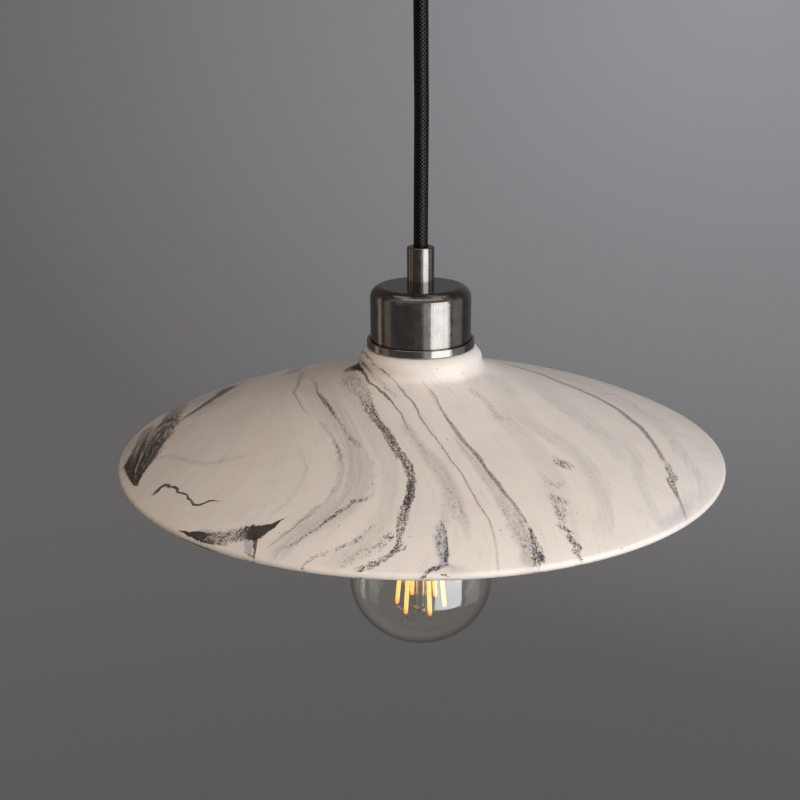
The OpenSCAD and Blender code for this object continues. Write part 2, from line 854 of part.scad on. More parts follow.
module bulb_cap() {
    r = bulb_cap_r;
    t = cap_sheet;
    shoulder = insulator_low - 2;
    color("silver")
        translate([0, 0, z_seat])
            rotate_extrude()
                polygon([[8, insulator_low], [r - 1.6, insulator_low], [r, shoulder], [r, bulb_cap_low + 3],
                    [r + 0.3, bulb_cap_low], [r + 0.3 - t, bulb_cap_low], [r - t, bulb_cap_low + 3],
                    [r - t, shoulder - 0.2], [r - 1.8, insulator_low - t], [8, insulator_low - t]]);
}

module bulb_glass() {
    color([0.8, 0.85, 0.85, 0.35])
        translate([0, 0, z_seat])
            rotate_extrude()
                polygon(concat(
                    [[glass_neck_r, bulb_cap_low + 6], [glass_neck_r, bulb_cap_low]],
                    [for (i = [0:glass_steps]) bezier(glass_curve, i / glass_steps)],
                    [for (a = [6:6:90]) [bulb_r * cos(a), bulb_waist - bulb_crown * sin(a)]],
                    [for (a = [90:-6:6]) [(bulb_r - glass_wall) * cos(a),
                        bulb_waist - (bulb_crown - glass_wall) * sin(a)]],
                    [for (i = [glass_steps:-1:0]) beside(glass_curve, i / glass_steps, glass_wall)],
                    [[glass_neck_r - glass_wall, bulb_cap_low - 0.4], [glass_neck_r - glass_wall, bulb_cap_low + 6]]));
}

// Flare that closes the neck, with the rod that carries the filaments
module bulb_stem() {
    rim = neck_out_r - glass_wall - seat_gap;
    top = flare_top;
    color([0.8, 0.85, 0.85, 0.35])
        translate([0, 0, z_seat])
            difference() {
                rotate_extrude()
                    polygon([[rim - 1.2, top], [rim, top], [rim, top - 1.4], [6.2, top - 9], [3.4, top - 15],
                        [stem_r, top - 20], [stem_r, stem_low + 1], [stem_r - 1, stem_low], [0, stem_low],
                        [0, top - 11], [4.6, top - 7.6]]);
                for (side = [-1, 1])
                    translate([0, side * lead_spread, top - 13])
                        cylinder(h = 9, r = bulb_wire_r + thread_gap, $fn = 16);
            }
}

module at_filaments() {
    for (i = [0:filament_count - 1])
        translate([0, 0, z_seat])
            rotate([0, 0, first_filament + 360 * i / filament_count])
                children();
}

module led_filaments() {
    color("orange")
        at_filaments()
            rod(filament_top, filament_foot, filament_r);
}

// Collar on the stem with one bent wire to each filament
module wire_crown(stem_level, knee, reach) {
    collar = 1.2;
    color("silver") {
        translate([0, 0, z_seat + stem_level - collar / 2])
            difference() {
                cylinder(h = collar, r = crown_r);
                translate([0, 0, -cut])
                    cylinder(h = collar + 2 * cut, r = stem_r + thread_gap);
            }
        at_filaments()
            bulb_wire([[stem_r + 0.6, 0, stem_level], knee, reach]);
    }
}

module upper_filament_wires() {
    end = filament_top + [-0.2, 0, bulb_wire_r];
    wire_crown(filament_high + crown_rise, end + [-1.2, 0, 2.8], end);
}

module lower_filament_wires() {
    end = filament_foot + [0.2, 0, -bulb_wire_r];
    wire_crown(stem_low + 2, end + [-3, 0, -2.2], end);
}

module led_driver() {
    board_r = bulb_cap_r - cap_sheet - seat_gap;
    color("seagreen")
        translate([0, 0, z_seat + driver_level])
            cylinder(h = 1, r = board_r);
    color("#222222")
        translate([-3, 0, z_seat + driver_level - 9])
            cylinder(h = 9, r = 3);
    color("#444444")
        translate([3, -3, z_seat + driver_level - 4])
            cube([4, 6, 4]);
}

// Two leads from the driver through the flare to the upper wires
module bulb_lead_wires() {
    near = crown_r + bulb_wire_r + thread_gap;
    knee = flare_top - 11.8;
    color("silver")
        for (side = [-1, 1])
            translate([0, 0, z_seat])
                bulb_wire([[0, side * lead_spread, driver_level], [0, side * lead_spread, knee + 4],
                    [0, side * lead_spread, knee], [0, side * (near + 0.4), knee - 16],
                    [0, side * near, filament_high + crown_rise - 0.6]]);
}

ceiling_bracket();
canopy();
canopy_side_screws();
terminal_block();
terminal_block_sleeves();
terminal_block_screws();
terminal_block_fixing_screw();
bracket_earth_terminal();
bracket_earth_screw();
canopy_grip();
canopy_grip_screw();
canopy_nipple();
canopy_lock_nut();
canopy_cable_end();
canopy_live_core();
canopy_neutral_core();
canopy_earth_core();
cable();
cord_grip();
cord_grip_screw();
holder_nipple();
holder_lock_nut();
holder_cable_end();
holder_live_core();
holder_neutral_core();
holder_earth_core();
holder_cup();
shade_tray();
ceramic_shade();
shade_gasket();
retaining_ring();
holder_cap();
holder_skirt();
holder_insert();
screw_shell();
centre_contact();
holder_terminals();
holder_terminal_screws();
bulb_contact();
bulb_insulator();
bulb_cap();
bulb_glass();
bulb_stem();
led_filaments();
upper_filament_wires();
lower_filament_wires();
led_driver();
bulb_lead_wires();
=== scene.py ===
# Ceramic pendant light: finishes, finer shapes and studio around the CAD frame
import bisect
import math
import random

import bpy
import numpy as np
from mathutils import Matrix, Vector
from mathutils.bvhtree import BVHTree


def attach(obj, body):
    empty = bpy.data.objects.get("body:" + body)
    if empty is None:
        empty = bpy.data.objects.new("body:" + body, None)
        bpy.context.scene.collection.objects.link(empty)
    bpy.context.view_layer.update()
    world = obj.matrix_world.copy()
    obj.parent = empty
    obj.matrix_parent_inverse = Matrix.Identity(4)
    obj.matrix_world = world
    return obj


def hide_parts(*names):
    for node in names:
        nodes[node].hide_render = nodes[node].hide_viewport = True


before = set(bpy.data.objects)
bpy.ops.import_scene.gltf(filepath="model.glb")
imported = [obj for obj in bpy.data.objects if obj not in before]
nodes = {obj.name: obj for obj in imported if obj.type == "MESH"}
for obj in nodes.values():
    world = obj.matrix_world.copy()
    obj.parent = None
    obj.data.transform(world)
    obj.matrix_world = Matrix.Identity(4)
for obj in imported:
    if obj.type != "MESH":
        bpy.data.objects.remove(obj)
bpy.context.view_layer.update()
MM = 0.001

# Levels that the solids have, in metres
Z_MOUTH_TOP = -42.8 * MM
Z_SEAT = -208.8 * MM

# Camera, at the photograph's viewing angle
LENS_PIXELS = 1233.8
FRAME_PIXELS = 800
SENSOR = 36
CAMERA_PLACE = (0, -0.55, -0.0606)
TURN, DIP, ROLL = 0.0176, 0.3077, -0.0056
camera_data = bpy.data.cameras.new("camera")
camera_data.sensor_width = SENSOR
camera_data.lens = SENSOR * LENS_PIXELS / FRAME_PIXELS
camera_data.clip_start = 0.01
camera = bpy.data.objects.new("camera", camera_data)
bpy.context.scene.collection.objects.link(camera)
camera.matrix_world = (
    Matrix.Translation(CAMERA_PLACE)
    @ Matrix.Rotation(TURN, 4, "Z")
    @ Matrix.Rotation(math.pi / 2 - DIP, 4, "X")
    @ Matrix.Rotation(ROLL, 4, "Z")
)
bpy.context.scene.camera = camera
VIEW = camera.matrix_world.copy()


def pixel_ray(x, y):
    """Start and direction of the line of sight through a pixel of the photograph."""
    toward = Vector((x - FRAME_PIXELS / 2, FRAME_PIXELS / 2 - y, -LENS_PIXELS))
    return VIEW.translation, (VIEW.to_3x3() @ toward).normalized()


# Mesh helpers
def new_object(name, verts, faces, sharp=35):
    mesh = bpy.data.meshes.new(name)
    mesh.from_pydata([tuple(v) for v in verts], [], faces)
    mesh.validate()
    mesh.shade_smooth()
    mesh.set_sharp_from_angle(angle=math.radians(sharp))
    obj = bpy.data.objects.new(name, mesh)
    bpy.context.scene.collection.objects.link(obj)
    return obj


def lathe(name, profile, steps=128, closed=True, sharp=35):
    """A profile of (radius, height) turned about Z. Points at radius 0 become one vertex."""
    verts, rings, faces = [], [], []
    for r, z in profile:
        if r < 1e-7:
            rings.append([len(verts)] * steps)
            verts.append((0, 0, z))
        else:
            rings.append([len(verts) + k for k in range(steps)])
            for k in range(steps):
                a = 2 * math.pi * k / steps
                verts.append((r * math.cos(a), r * math.sin(a), z))
    pairs = list(zip(rings, rings[1:]))
    if closed:
        pairs.append((rings[-1], rings[0]))
    for low, high in pairs:
        for k in range(steps):
            n = (k + 1) % steps
            corners = [low[n], low[k], high[k], high[n]]
            face = [c for i, c in enumerate(corners) if c not in corners[:i]]
            if len(face) > 2:
                faces.append(face)
    return new_object(name, verts, faces, sharp)


def frames_along(path):
    """Tangent and two side directions at each point of a path, without twist."""
    points = [Vector(p) for p in path]
    tangents = []
    for i in range(len(points)):
        d = points[min(i + 1, len(points) - 1)] - points[max(i - 1, 0)]
        tangents.append(d.normalized())
    side = tangents[0].orthogonal().normalized()
    found = []
    for t in tangents:
        side = (side - t * side.dot(t)).normalized()
        found.append((t, side, t.cross(side)))
    return points, found


def sweep(name, path, radius, sides=12, sharp=60):
    """A round tube with flat ends. radius is a number, or a function of (index, angle)."""
    points, axes = frames_along(path)
    verts, faces = [], []
    for i, (p, (_, u, v)) in enumerate(zip(points, axes)):
        for k in range(sides):
            a = 2 * math.pi * k / sides
            r = radius(i, a) if callable(radius) else radius
            verts.append(p + u * (r * math.cos(a)) + v * (r * math.sin(a)))
    for i in range(len(points) - 1):
        for k in range(sides):
            n, here, ahead = (k + 1) % sides, i * sides, (i + 1) * sides
            faces.append([here + k, here + n, ahead + n, ahead + k])
    faces.append(list(range(sides))[::-1])
    faces.append([(len(points) - 1) * sides + k for k in range(sides)])
    return new_object(name, verts, faces, sharp)


def spline(points, gap):
    """Points a gap apart on a smooth curve through the given points, of any number of values."""
    p = [np.array(q, float) for q in points]
    p = [2 * p[0] - p[1]] + p + [2 * p[-1] - p[-2]]
    found = []
    for a, b, c, d in zip(p, p[1:], p[2:], p[3:]):
        count = max(2, int(np.linalg.norm(c[:2] - b[:2]) / gap))
        for k in range(count):
            t = k / count
            bent = 2 * b + (c - a) * t + (2 * a - 5 * b + 4 * c - d) * t * t
            found.append(0.5 * (bent + (3 * b - a - 3 * c + d) * t**3))
    found.append(p[-2])
    return np.array(found)


# Material helpers
class Tree:
    """A node material around one Principled shader."""

    def __init__(self, name):
        self.material = bpy.data.materials.new(name)
        self.material.use_nodes = True
        self.tree = self.material.node_tree
        self.shader = self.tree.nodes["Principled BSDF"]

    def node(self, kind, **settings):
        n = self.tree.nodes.new(kind)
        for key, value in settings.items():
            setattr(n, key, value)
        return n

    def join(self, value, socket):
        if isinstance(value, bpy.types.NodeSocket):
            self.tree.links.new(value, socket)
        else:
            socket.default_value = value

    def fill(self, node, **values):
        """Sets or joins a node's inputs by their names, with _ for a space."""
        for key, value in values.items():
            self.join(value, node.inputs[key.replace("_", " ")])
        return node

    def set(self, **values):
        self.fill(self.shader, **values)

    def math(self, op, *values, clamp=False):
        n = self.node("ShaderNodeMath", operation=op, use_clamp=clamp)
        for value, socket in zip(values, n.inputs):
            self.join(value, socket)
        return n.outputs[0]

    def plus(self, a, b):
        return self.math("ADD", a, b)

    def minus(self, a, b):
        return self.math("SUBTRACT", a, b)

    def times(self, a, b):
        return self.math("MULTIPLY", a, b)

    def step(self, value, low, high, to_low=0.0, to_high=1.0, kind="SMOOTHSTEP"):
        """A value that goes from to_low to to_high while the given one goes from low to high."""
        n = self.node("ShaderNodeMapRange", interpolation_type=kind)
        for v, socket in zip((value, low, high, to_low, to_high), n.inputs):
            self.join(v, socket)
        return n.outputs[0]

    def mix(self, share, a, b, blend="MIX"):
        n = self.node("ShaderNodeMix", data_type="RGBA", blend_type=blend)
        self.join(share, n.inputs[0])
        self.join(a, n.inputs[6])
        self.join(b, n.inputs[7])
        return n.outputs[2]

    def place(self):
        return self.node("ShaderNodeTexCoord").outputs["Object"]

    def stretch(self, vector, scale):
        return self.fill(self.node("ShaderNodeMapping"), Vector=vector, Scale=scale).outputs[0]

    def noise(self, vector, scale, detail=3.0, rough=0.5, warp=0.0):
        n = self.node("ShaderNodeTexNoise")
        self.fill(n, Vector=vector, Scale=scale, Detail=detail, Roughness=rough, Distortion=warp)
        return n.outputs[0]

    def cells(self, vector, scale):
        return self.fill(self.node("ShaderNodeTexVoronoi"), Vector=vector, Scale=scale).outputs

    def parts(self, vector):
        return self.fill(self.node("ShaderNodeSeparateXYZ"), Vector=vector).outputs

    def bump(self, height, distance, strength):
        n = self.fill(self.node("ShaderNodeBump"), Height=height, Distance=distance, Strength=strength)
        self.set(Normal=n.outputs[0])


def rgba(colour, share=1.0):
    return (*(c * share for c in colour), 1)


def dress(obj, material):
    obj.data.materials.clear()
    obj.data.materials.append(material)


def choose(tree, share, first, second, output):
    """Joins the first shader to the output, or the second where the share is 1."""
    mix = tree.nodes.new("ShaderNodeMixShader")
    for value, socket in zip((share, first, second), mix.inputs):
        tree.links.new(value, socket)
    tree.links.new(mix.outputs[0], tree.nodes[output].inputs["Surface"])


def around_axis(t, place):
    """Angle about Z, radius and height of a point, for textures that follow a turned piece."""
    x, y, z = t.parts(place)
    turn = t.math("ARCTAN2", y, x)
    radius = t.math("SQRT", t.plus(t.times(x, x), t.times(y, y)))
    return turn, radius, z


# Cord: the free cable, along the same route as its solid
CABLE_R = 3.25 * MM
ROUTE = [
    (0, 0, 0), (0.1, 0, -15), (0.2, 0, -30), (0.3, 0, -45), (0.4, 0, -60),
    (0.3, 0, -75), (0.2, 0, -90), (0.1, 0, -105), (0, 0, -120),
]
route = [Vector((x * MM, y * MM, Z_MOUTH_TOP + z * MM)) for x, y, z in ROUTE]
CABLE_STEP = 0.3 * MM
fine = spline([(p.z, p.x, p.y) for p in route], CABLE_STEP)
cable_path = [Vector((x, y, z)) for z, x, y in fine]
# Rounded ends, as degrees from the side and shares of the cable's radius
END = [(80, 0.17), (60, 0.5), (40, 0.77), (20, 0.94)]
end_rise = [Vector((0, 0, CABLE_R * math.sin(math.radians(a)))) for a, _ in END]
end_share = [s for _, s in END]
path = [route[0] + v for v in end_rise] + cable_path + [route[-1] - v for v in end_rise[::-1]]
shares = end_share + [1.0] * len(cable_path) + end_share[::-1]
heights = [p.z for p in path]
BRAID_STRANDS = 24
BRAID_PITCH = 20 * MM
BRAID_SINK, BRAID_RELIEF = 0.04 * MM, 0.055 * MM


def braid_radius(i, a):
    """Strands that cross over and under each other in two directions."""
    turn = 2 * math.pi * heights[i] / BRAID_PITCH
    half = BRAID_STRANDS / 2
    height = max(math.cos(half * (a - turn)), math.cos(half * (a + turn)))
    return shares[i] * (CABLE_R - BRAID_SINK + BRAID_RELIEF * height)


cable = sweep("cable_braid", path, braid_radius, sides=96, sharp=80)
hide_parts("cable")
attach(cable, "free_cable")


# Shade: the same section as its solid, as a fine mesh that carries the marbling
def arc(centre, r, start, end, steps):
    return [
        (centre[0] + r * math.cos(a), centre[1] + r * math.sin(a))
        for a in (math.radians(start + (end - start) * i / steps) for i in range(steps + 1))
    ]


def bezier(p, t):
    """The point at t, from 0 to 1, of a curve with four control points."""
    return (1 - t) ** 3 * p[0] + 3 * (1 - t) ** 2 * t * p[1] + 3 * (1 - t) * t * t * p[2] + t**3 * p[3]


def beside(p, t, off):
    """The point that lies off to the side of the curve at t."""
    d = (1 - t) ** 2 * (p[1] - p[0]) + 2 * (1 - t) * t * (p[2] - p[1]) + t * t * (p[3] - p[2])
    d = d / np.linalg.norm(d)
    return bezier(p, t) + off * np.array([d[1], -d[0]])


def polar(degrees):
    """Directions along a slope that falls outward, and square to it."""
    a = math.radians(degrees)
    return np.array([math.cos(a), -math.sin(a)]), np.array([math.sin(a), math.cos(a)])


HOLE_R, NECK_R, SHOULDER, SIDE, FILLET = 20.4, 28.3, 5.8, 0.2, 4.5
WALL, RIM_R, SHADE_R, RIM_LEVEL = 3.8, 1.9, 140, -50.3
NECK_SLOPE, RIM_SLOPE = 21.3, 29.4
NECK_PULL, RIM_PULL = 48.7, 32.8
SEAT_R, SEAT_LOW = 27.5, -12
rim_centre = np.array([SHADE_R - RIM_R, RIM_LEVEL])
foot = np.array([NECK_R + FILLET, -SHOULDER - SIDE])
down_neck, up_neck = polar(NECK_SLOPE)
down_rim, up_rim = polar(RIM_SLOPE)
face_start = foot - FILLET * up_neck
face_end = rim_centre + RIM_R * up_rim
FACE = [face_start, face_start + NECK_PULL * down_neck, face_end - RIM_PULL * down_rim, face_end]
FACE_STEPS, INNER_STEPS = 84, 48
outer = (
    [(HOLE_R, 0), (HOLE_R + 1.5, 0)]
    + arc((NECK_R - SHOULDER, -SHOULDER), SHOULDER, 90, 0, 12)
    + arc(foot, FILLET, 180, 270 - NECK_SLOPE, 10)
    + [tuple(bezier(FACE, i / FACE_STEPS)) for i in range(1, FACE_STEPS + 1)]
)
rim = arc(rim_centre, RIM_R, 80 - RIM_SLOPE, -80 - RIM_SLOPE, 12)
inner = [tuple(beside(FACE, i / INNER_STEPS, WALL)) for i in range(INNER_STEPS, -1, -1)]
section = outer + rim + inner + [(SEAT_R, SEAT_LOW), (HOLE_R, SEAT_LOW), (HOLE_R, SEAT_LOW / 2)]
SHADE_STEPS = 384
shade = lathe("marbled_shade", [(r * MM, Z_SEAT + z * MM) for r, z in section], SHADE_STEPS)
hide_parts("ceramic_shade")
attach(shade, "lamp")

# Spread of the surface: the distance from the axis along the outer face, in millimetres
outer_r = [r for r, _ in outer]
spread = [outer_r[0]]
for (r0, z0), (r1, z1) in zip(outer, outer[1:]):
    spread.append(spread[-1] + math.hypot(r1 - r0, z1 - z0))
for (r0, z0), (r1, z1) in zip([outer[-1]] + rim, rim[:6]):
    spread.append(spread[-1] + math.hypot(r1 - r0, z1 - z0))
section_spread = list(spread)
for r, _ in section[len(spread):]:
    section_spread.append(spread[min(bisect.bisect_left(outer_r, r), len(outer_r) - 1)])
angles = np.arange(SHADE_STEPS) * 2 * np.pi / SHADE_STEPS
flat_x = (np.array(section_spread)[:, None] * np.cos(angles)[None]).ravel()
flat_y = (np.array(section_spread)[:, None] * np.sin(angles)[None]).ravel()
tree_of_faces = BVHTree.FromObject(shade, bpy.context.evaluated_depsgraph_get())


def on_clay(x, y):
    """Flattened place, in millimetres, of the point of the shade behind a pixel of the photograph."""
    start, toward = pixel_ray(x, y)
    hit, _, _, _ = tree_of_faces.ray_cast(start, toward)
    if hit is None:
        return None
    r, z = math.hypot(hit.x, hit.y) / MM, (hit.z - Z_SEAT) / MM
    best = min(range(len(spread) - 1), key=lambda i: math.hypot(section[i][0] - r, section[i][1] - z))
    turn = math.atan2(hit.y, hit.x)
    return spread[best] * math.cos(turn), spread[best] * math.sin(turn)


# Veins, given as points with a place and half a width in pixels of the photograph's frame,
# and a strength. Lines and flecks have a weight in front, for a fainter or bolder vein
LINES = [
    (.75, [(392, 378, .7, .7), (397, 384, .8, 1), (402, 390, .8, 1), (406, 394, .9, 1), (411, 401, 1, 1),
     (416, 408, 1, 1), (420, 416, 1, 1), (424, 422, .9, 1), (430, 431, .8, .9), (436, 439, .8, .9),
     (446, 452, .8, .9), (451, 460, .8, .85), (461, 473, .8, .85), (470, 489, .8, .85),
     (478, 503, .9, .85), (487, 517, 1, .8), (492, 528, 1.3, .6), (496, 545, 1.6, .45),
     (498, 568, 1.6, .4)]),
    (1, [(354, 367, 1.6, 1), (361, 369, 1.8, 1.1), (365, 374, 1.7, 1.1), (370, 381, 1.5, 1.1),
     (376, 386, 1.3, 1), (386, 396, 1.2, 1), (391, 402, 1.2, 1), (397, 408, 1, .9), (401, 414, .9, .8),
     (405, 422, .8, .7), (409, 430, .7, .5)]),
    (1, [(356, 358, 1, .8), (362, 362, 1, .9), (367, 367, 1, .9), (372, 373, .8, .6)]),
    (.8, [(431, 391, .8, .8), (436, 398, .9, .8), (440, 407, .9, .8), (445, 415, 1.1, 1),
     (450, 423, 1.5, 1.1), (456, 431, 2, 1), (461, 438, 2, .95), (467, 445, 1.6, 1), (473, 451, 1.8, 1.1),
     (479, 458, 2.1, 1.2), (484, 466, 1.8, 1.2), (490, 474, 1.8, 1.1), (497, 482, 2.2, 1.1),
     (501, 488, 1.8, 1.1), (505, 494, 1.8, 1.1), (510, 499, 1.5, 1), (515, 506, 1.8, .9),
     (520, 513, 1.6, .9), (526, 522, 1.4, .9)]),
    (.4, [(422, 380, .6, .5), (426, 387, .7, .6), (433, 398, .7, .6), (440, 410, .7, .5)]),
    (.85, [(505, 364, .6, .5), (521, 368, .7, .7), (540, 374, .9, .8), (550, 378, .9, .85),
     (560, 382, .9, .85), (570, 386, .9, .85), (580, 390, .9, .9), (590, 394.5, .9, .9),
     (600, 399.5, 1, .9), (610, 405, 1, .95), (620, 411, 1.1, 1), (630, 419, 1.3, 1), (638, 425, 1.5, 1),
     (644, 432, 1.4, 1), (650, 440, 1.2, 1), (656, 448, 1.2, 1), (660, 454, 1.3, .9),
     (664, 460, 1.5, .8)]),
    (.75, [(676, 494, 1.2, .9), (680, 502, 1.2, .9), (683, 510, 1.1, .8), (685, 518, 1, .5)]),
    (1.2, [(243, 379, .8, .7), (230, 387.5, .9, .9), (220, 395, 1, 1), (210, 401, 1, 1),
     (200, 407.5, 1, 1), (190, 414.5, .8, .9), (181, 420, .6, .5)]),
    (1.8, [(155, 493, 1.3, .8), (157, 491, 1.4, 1), (160, 488, 1.2, 1), (163, 486, 1.1, 1),
     (167, 485.5, 1.3, 1.1), (170, 487, 1, .8), (174, 487.5, 1.1, 1), (177, 489.5, 1.3, 1),
     (179, 492, 1.2, 1), (183, 493, 1, 1), (186, 496, 1.3, 1), (188, 499, 1.1, 1.1), (191, 501, 1.3, 1.1),
     (193, 504, 1.3, 1.1), (196, 505.5, 1.1, 1.1), (199, 505.5, .9, 1), (203, 504, .8, 1),
     (209, 501.5, .8, .9), (217, 500, .7, .5)]),
    (1, [(302, 372, .7, .3), (297, 385, .9, .5), (295, 392, .9, .6), (297, 400, .9, .65),
     (300, 407, .9, .6), (305, 413, .7, .4)]),
    (1, [(300, 367, .7, .4), (293, 372, .8, .5), (283, 375, .7, .3)]),
    (.5, [(588, 424, .7, .6), (593, 430, .6, .5)]),
    (.8, [(315, 383, .8, .5), (319, 391, 1, .7), (323, 398, 1.1, .8), (327, 405, 1.2, .9),
     (332, 411, 1.1, .8), (336, 417, 1, .6)]),
    (2.4, [(254, 540, 2.2, 1.2), (254.5, 545, 1.8, 1.1), (255, 550, 1.2, 1), (254, 556.5, 1, .9)]),
    (1.9, [(245, 553, .6, .5), (249, 555, .7, .7), (254, 556.5, .7, .8)]),
    (1, [(313, 514, .8, .4), (300, 522, .9, .5), (292, 529, .9, .6), (280, 538, .8, .45),
     (270, 546, .8, .35)]),
]
FLECKS = [
    (.8, [(347, 373, 9, .62), (352, 383, 11, .62), (362, 395, 9, .68), (369, 408, 6, .9),
     (377, 420, 5.4, 1), (385, 430, 5.2, 1), (391, 440, 5.2, 1), (397, 450, 5.4, 1), (405, 460, 5.8, .95),
     (409, 470, 5.6, .95), (411, 480, 5.8, 1), (410.5, 490, 6, 1.1), (408.5, 500, 5.4, 1.1),
     (404, 510, 6.4, .9), (403, 520, 7, .88), (401, 530, 5.6, .85), (399, 540, 4, .85),
     (398, 548, 4, .7)]),
    (1, [(402, 546, 3.6, .8), (391, 554, 3.6, .72), (380, 560, 3.6, .66), (370, 565, 3.6, .7),
     (356, 570, 3.2, .65)]),
    (.7, [(349, 371, 2.4, 1), (353, 368, 3, 1.3), (358, 368, 3, 1.3), (362, 371, 2.4, 1.2)]),
    (.85, [(304, 374, 1.5, .3), (314, 380, 2, .5), (316, 391, 2.2, .7), (323, 400, 2.2, .75),
     (332, 412, 2.4, .8), (337, 419, 2.4, .7), (346, 432, 2, .55), (352, 440, 2.2, .7), (358, 445, 2, .7),
     (363, 450, 1.6, .5)]),
    (.8, [(366, 455, 2, .4), (371, 464, 2.4, .45), (374, 478, 2.4, .45), (373, 490, 2.2, .5),
     (368, 498, 2, .7), (361, 500.5, 1.8, .8), (354, 502, 2.2, .85), (347, 507, 2.2, .9),
     (340, 512, 2.2, .85), (333, 517, 2.4, .9), (326, 521, 1.8, .9), (318, 528, 1.6, .8),
     (310, 533, 1.8, .8), (302, 539, 1.8, .7), (294, 544, 2, .75), (286, 547.5, 1.8, .7)]),
    (1, [(374, 524, 2, .5), (366, 532, 2.2, .6), (358, 540, 2.4, .65), (348, 545, 2.4, .6),
     (338, 549, 2.4, .65), (330, 552, 2.2, .55), (318, 556, 2.2, .6), (310, 561, 2, .65),
     (302, 568, 1.8, .7)]),
    (1, [(390, 536, 6, .5), (376, 548, 6, .45), (360, 556, 6, .4), (342, 566, 5, .35)]),
    (.7, [(320, 420, 1.4, .6), (328, 431, 1.4, .5), (335, 441, 1.4, .6), (340, 452, 2, .9),
     (342, 466, 1.6, .4), (341, 478, 1.6, .5), (337, 487, 1.8, .6), (327, 499, 1.8, .4)]),
    (.86, [(181, 405, 1.2, .6), (172, 417, 2.6, .9), (165, 427, 4.6, .9), (157, 438, 6.4, 1),
     (151, 447, 7, 1.05), (147, 457, 6.4, 1.1), (143, 467, 4.4, 1.2), (139.5, 477, 2, 1.3),
     (138, 484, 1, 1.1)]),
    (.92, [(148, 428, 1.5, .6), (144, 438, 2.2, .8), (140, 446, 2.6, .9), (135, 456, 3.4, 1),
     (130.5, 465, 4.4, 1.25), (132, 473, 4.4, 1.3), (136, 481, 3.4, 1.2), (138, 485, 1.5, 1)]),
    (.6, [(124, 466, 1, .8), (129, 466, 2.4, 1)]),
    (1, [(181, 531, .6, 1.4), (188, 533, 2, 1.4), (195, 535, 3.8, 1.35), (203, 536.5, 5.6, 1.05),
     (212, 537.5, 7, .78), (222, 537.5, 8.4, .72), (234, 535, 7.6, .70), (244, 533.5, 7.6, .85),
     (251, 533, 7.6, 1.3), (259, 532, 7.2, 1.4), (266, 529, 4.6, 1.4), (273, 525.5, 2.6, 1.4),
     (281.5, 520, .5, 1.4)]),
    (1.1, [(195, 538, 1.6, 1.2), (205, 541.5, 1.8, 1.1), (214, 544, 1.6, .8), (226, 546, 1.4, .6)]),
    (.7, [(442, 520, 1.5, .6), (441, 529, 6, .72), (441, 540, 7.2, .7), (442.5, 550, 7, .74),
     (445, 561, 5.4, .8)]),
    (.85, [(443, 521, 1.2, .8), (445.5, 533, 1.8, .95), (446, 546, 3, 1), (447, 555, 3.4, 1.1),
     (446, 563, 2.6, 1)]),
    (1.15, [(449, 565, 2, .7), (440, 568, 3, .7), (431, 571, 3, .75), (425, 575, 2.6, .8),
     (420, 578, 1.4, .8)]),
    (1.25, [(446, 576, 2.2, .7), (441, 574, 1.6, .6)]),
    (.75, [(529, 527, 1.8, 1), (532, 534, 2.4, 1.05), (534, 541, 4, .9), (537, 548, 6, .9),
     (539, 556, 7, .95), (536, 566, 6, .75)]),
    (.66, [(541, 553, 2.6, 1.4), (541, 558, 3.6, 1.4), (538, 561, 2, 1.2)]),
    (.8, [(500, 500, 5, .35), (510, 513, 7, .5), (519, 527, 8, .55), (527, 543, 8.5, .62),
     (531, 560, 8, .6)]),
    (.6, [(408, 428, 3, .4), (418, 443, 4, .45), (429, 457, 5, .42), (440, 472, 6, .5),
     (448, 487, 6, .55), (454, 500, 6, .5), (461, 514, 5, .5), (467, 527, 3.6, .5)]),
    (.55, [(443, 476, 2, .7), (446, 485, 2.4, .8), (450, 494, 2.4, .6)]),
    (1, [(555, 457, 2, .4), (560, 462, 5, .7), (568, 466, 5, .6)]),
    (.75, [(540, 474, 2, .4), (549, 481, 4, .6), (558, 485, 4, .65), (566, 480, 2, .4)]),
    (.85, [(549, 494, 2.6, .7), (557, 499, 4.6, .75), (566, 503, 4, .6)]),
    (.66, [(556, 503, 5, .7), (560, 510, 6.6, .85), (562, 518, 6, .95), (561, 524, 3, .8)]),
    (.7, [(559, 526, 2, 1), (565, 528.5, 2.4, 1.1), (572, 532, 1.8, .9)]),
    (.7, [(569, 536, 2.6, .9), (573, 541, 3.8, 1), (577, 546, 4.2, 1.1), (575, 551, 3.6, .9),
     (578, 556, 3.4, 1), (582, 560, 2.4, .9)]),
    (.7, [(667, 463, 1.8, 1), (670, 470, 3.2, 1), (672, 476, 4.4, 1), (672, 483, 4, 1),
     (674, 490, 2.6, 1), (677, 496, 1.6, 1)]),
    (.84, [(362, 351, 1.4, .7), (368, 358, 1.6, .8), (373, 363, 1.6, .8), (380, 368, 1.6, .7),
     (386, 373, 1.8, .8), (390, 377, 1.4, .6)]),
    (1.2, [(372, 376, 2.4, .4), (384, 386, 2.4, .4), (396, 398, 2.4, .35)]),
    (.7, [(468, 384, 2, .4), (475, 393, 2.4, .65), (484, 400, 2.4, .5), (492, 408, 2.6, .55),
     (500, 418, 2.6, .6), (515, 421, 2, .55)]),
    (.6, [(447, 385, 1.2, .6), (452, 392, 1.4, .6), (458, 401, 1.2, .5), (465, 413, 1, .3)]),
    (.6, [(540, 393, 1.2, .5), (549, 400, 1.2, .5), (567, 413, 1.8, .7), (574, 418, 1.2, .5)]),
    (.5, [(401, 409, 1.8, .6), (409, 424, 2.2, .6), (415, 436, 2.4, .6), (424, 448, 2.4, .5)]),
    (.2, [(430, 392, 1.8, .6), (437, 400, 1.8, .55), (443, 412, 1.6, .4)]),
    (1, [(232, 382, 1.6, .35), (214, 401, 2, .4), (196, 412, 1.6, .3)]),
]
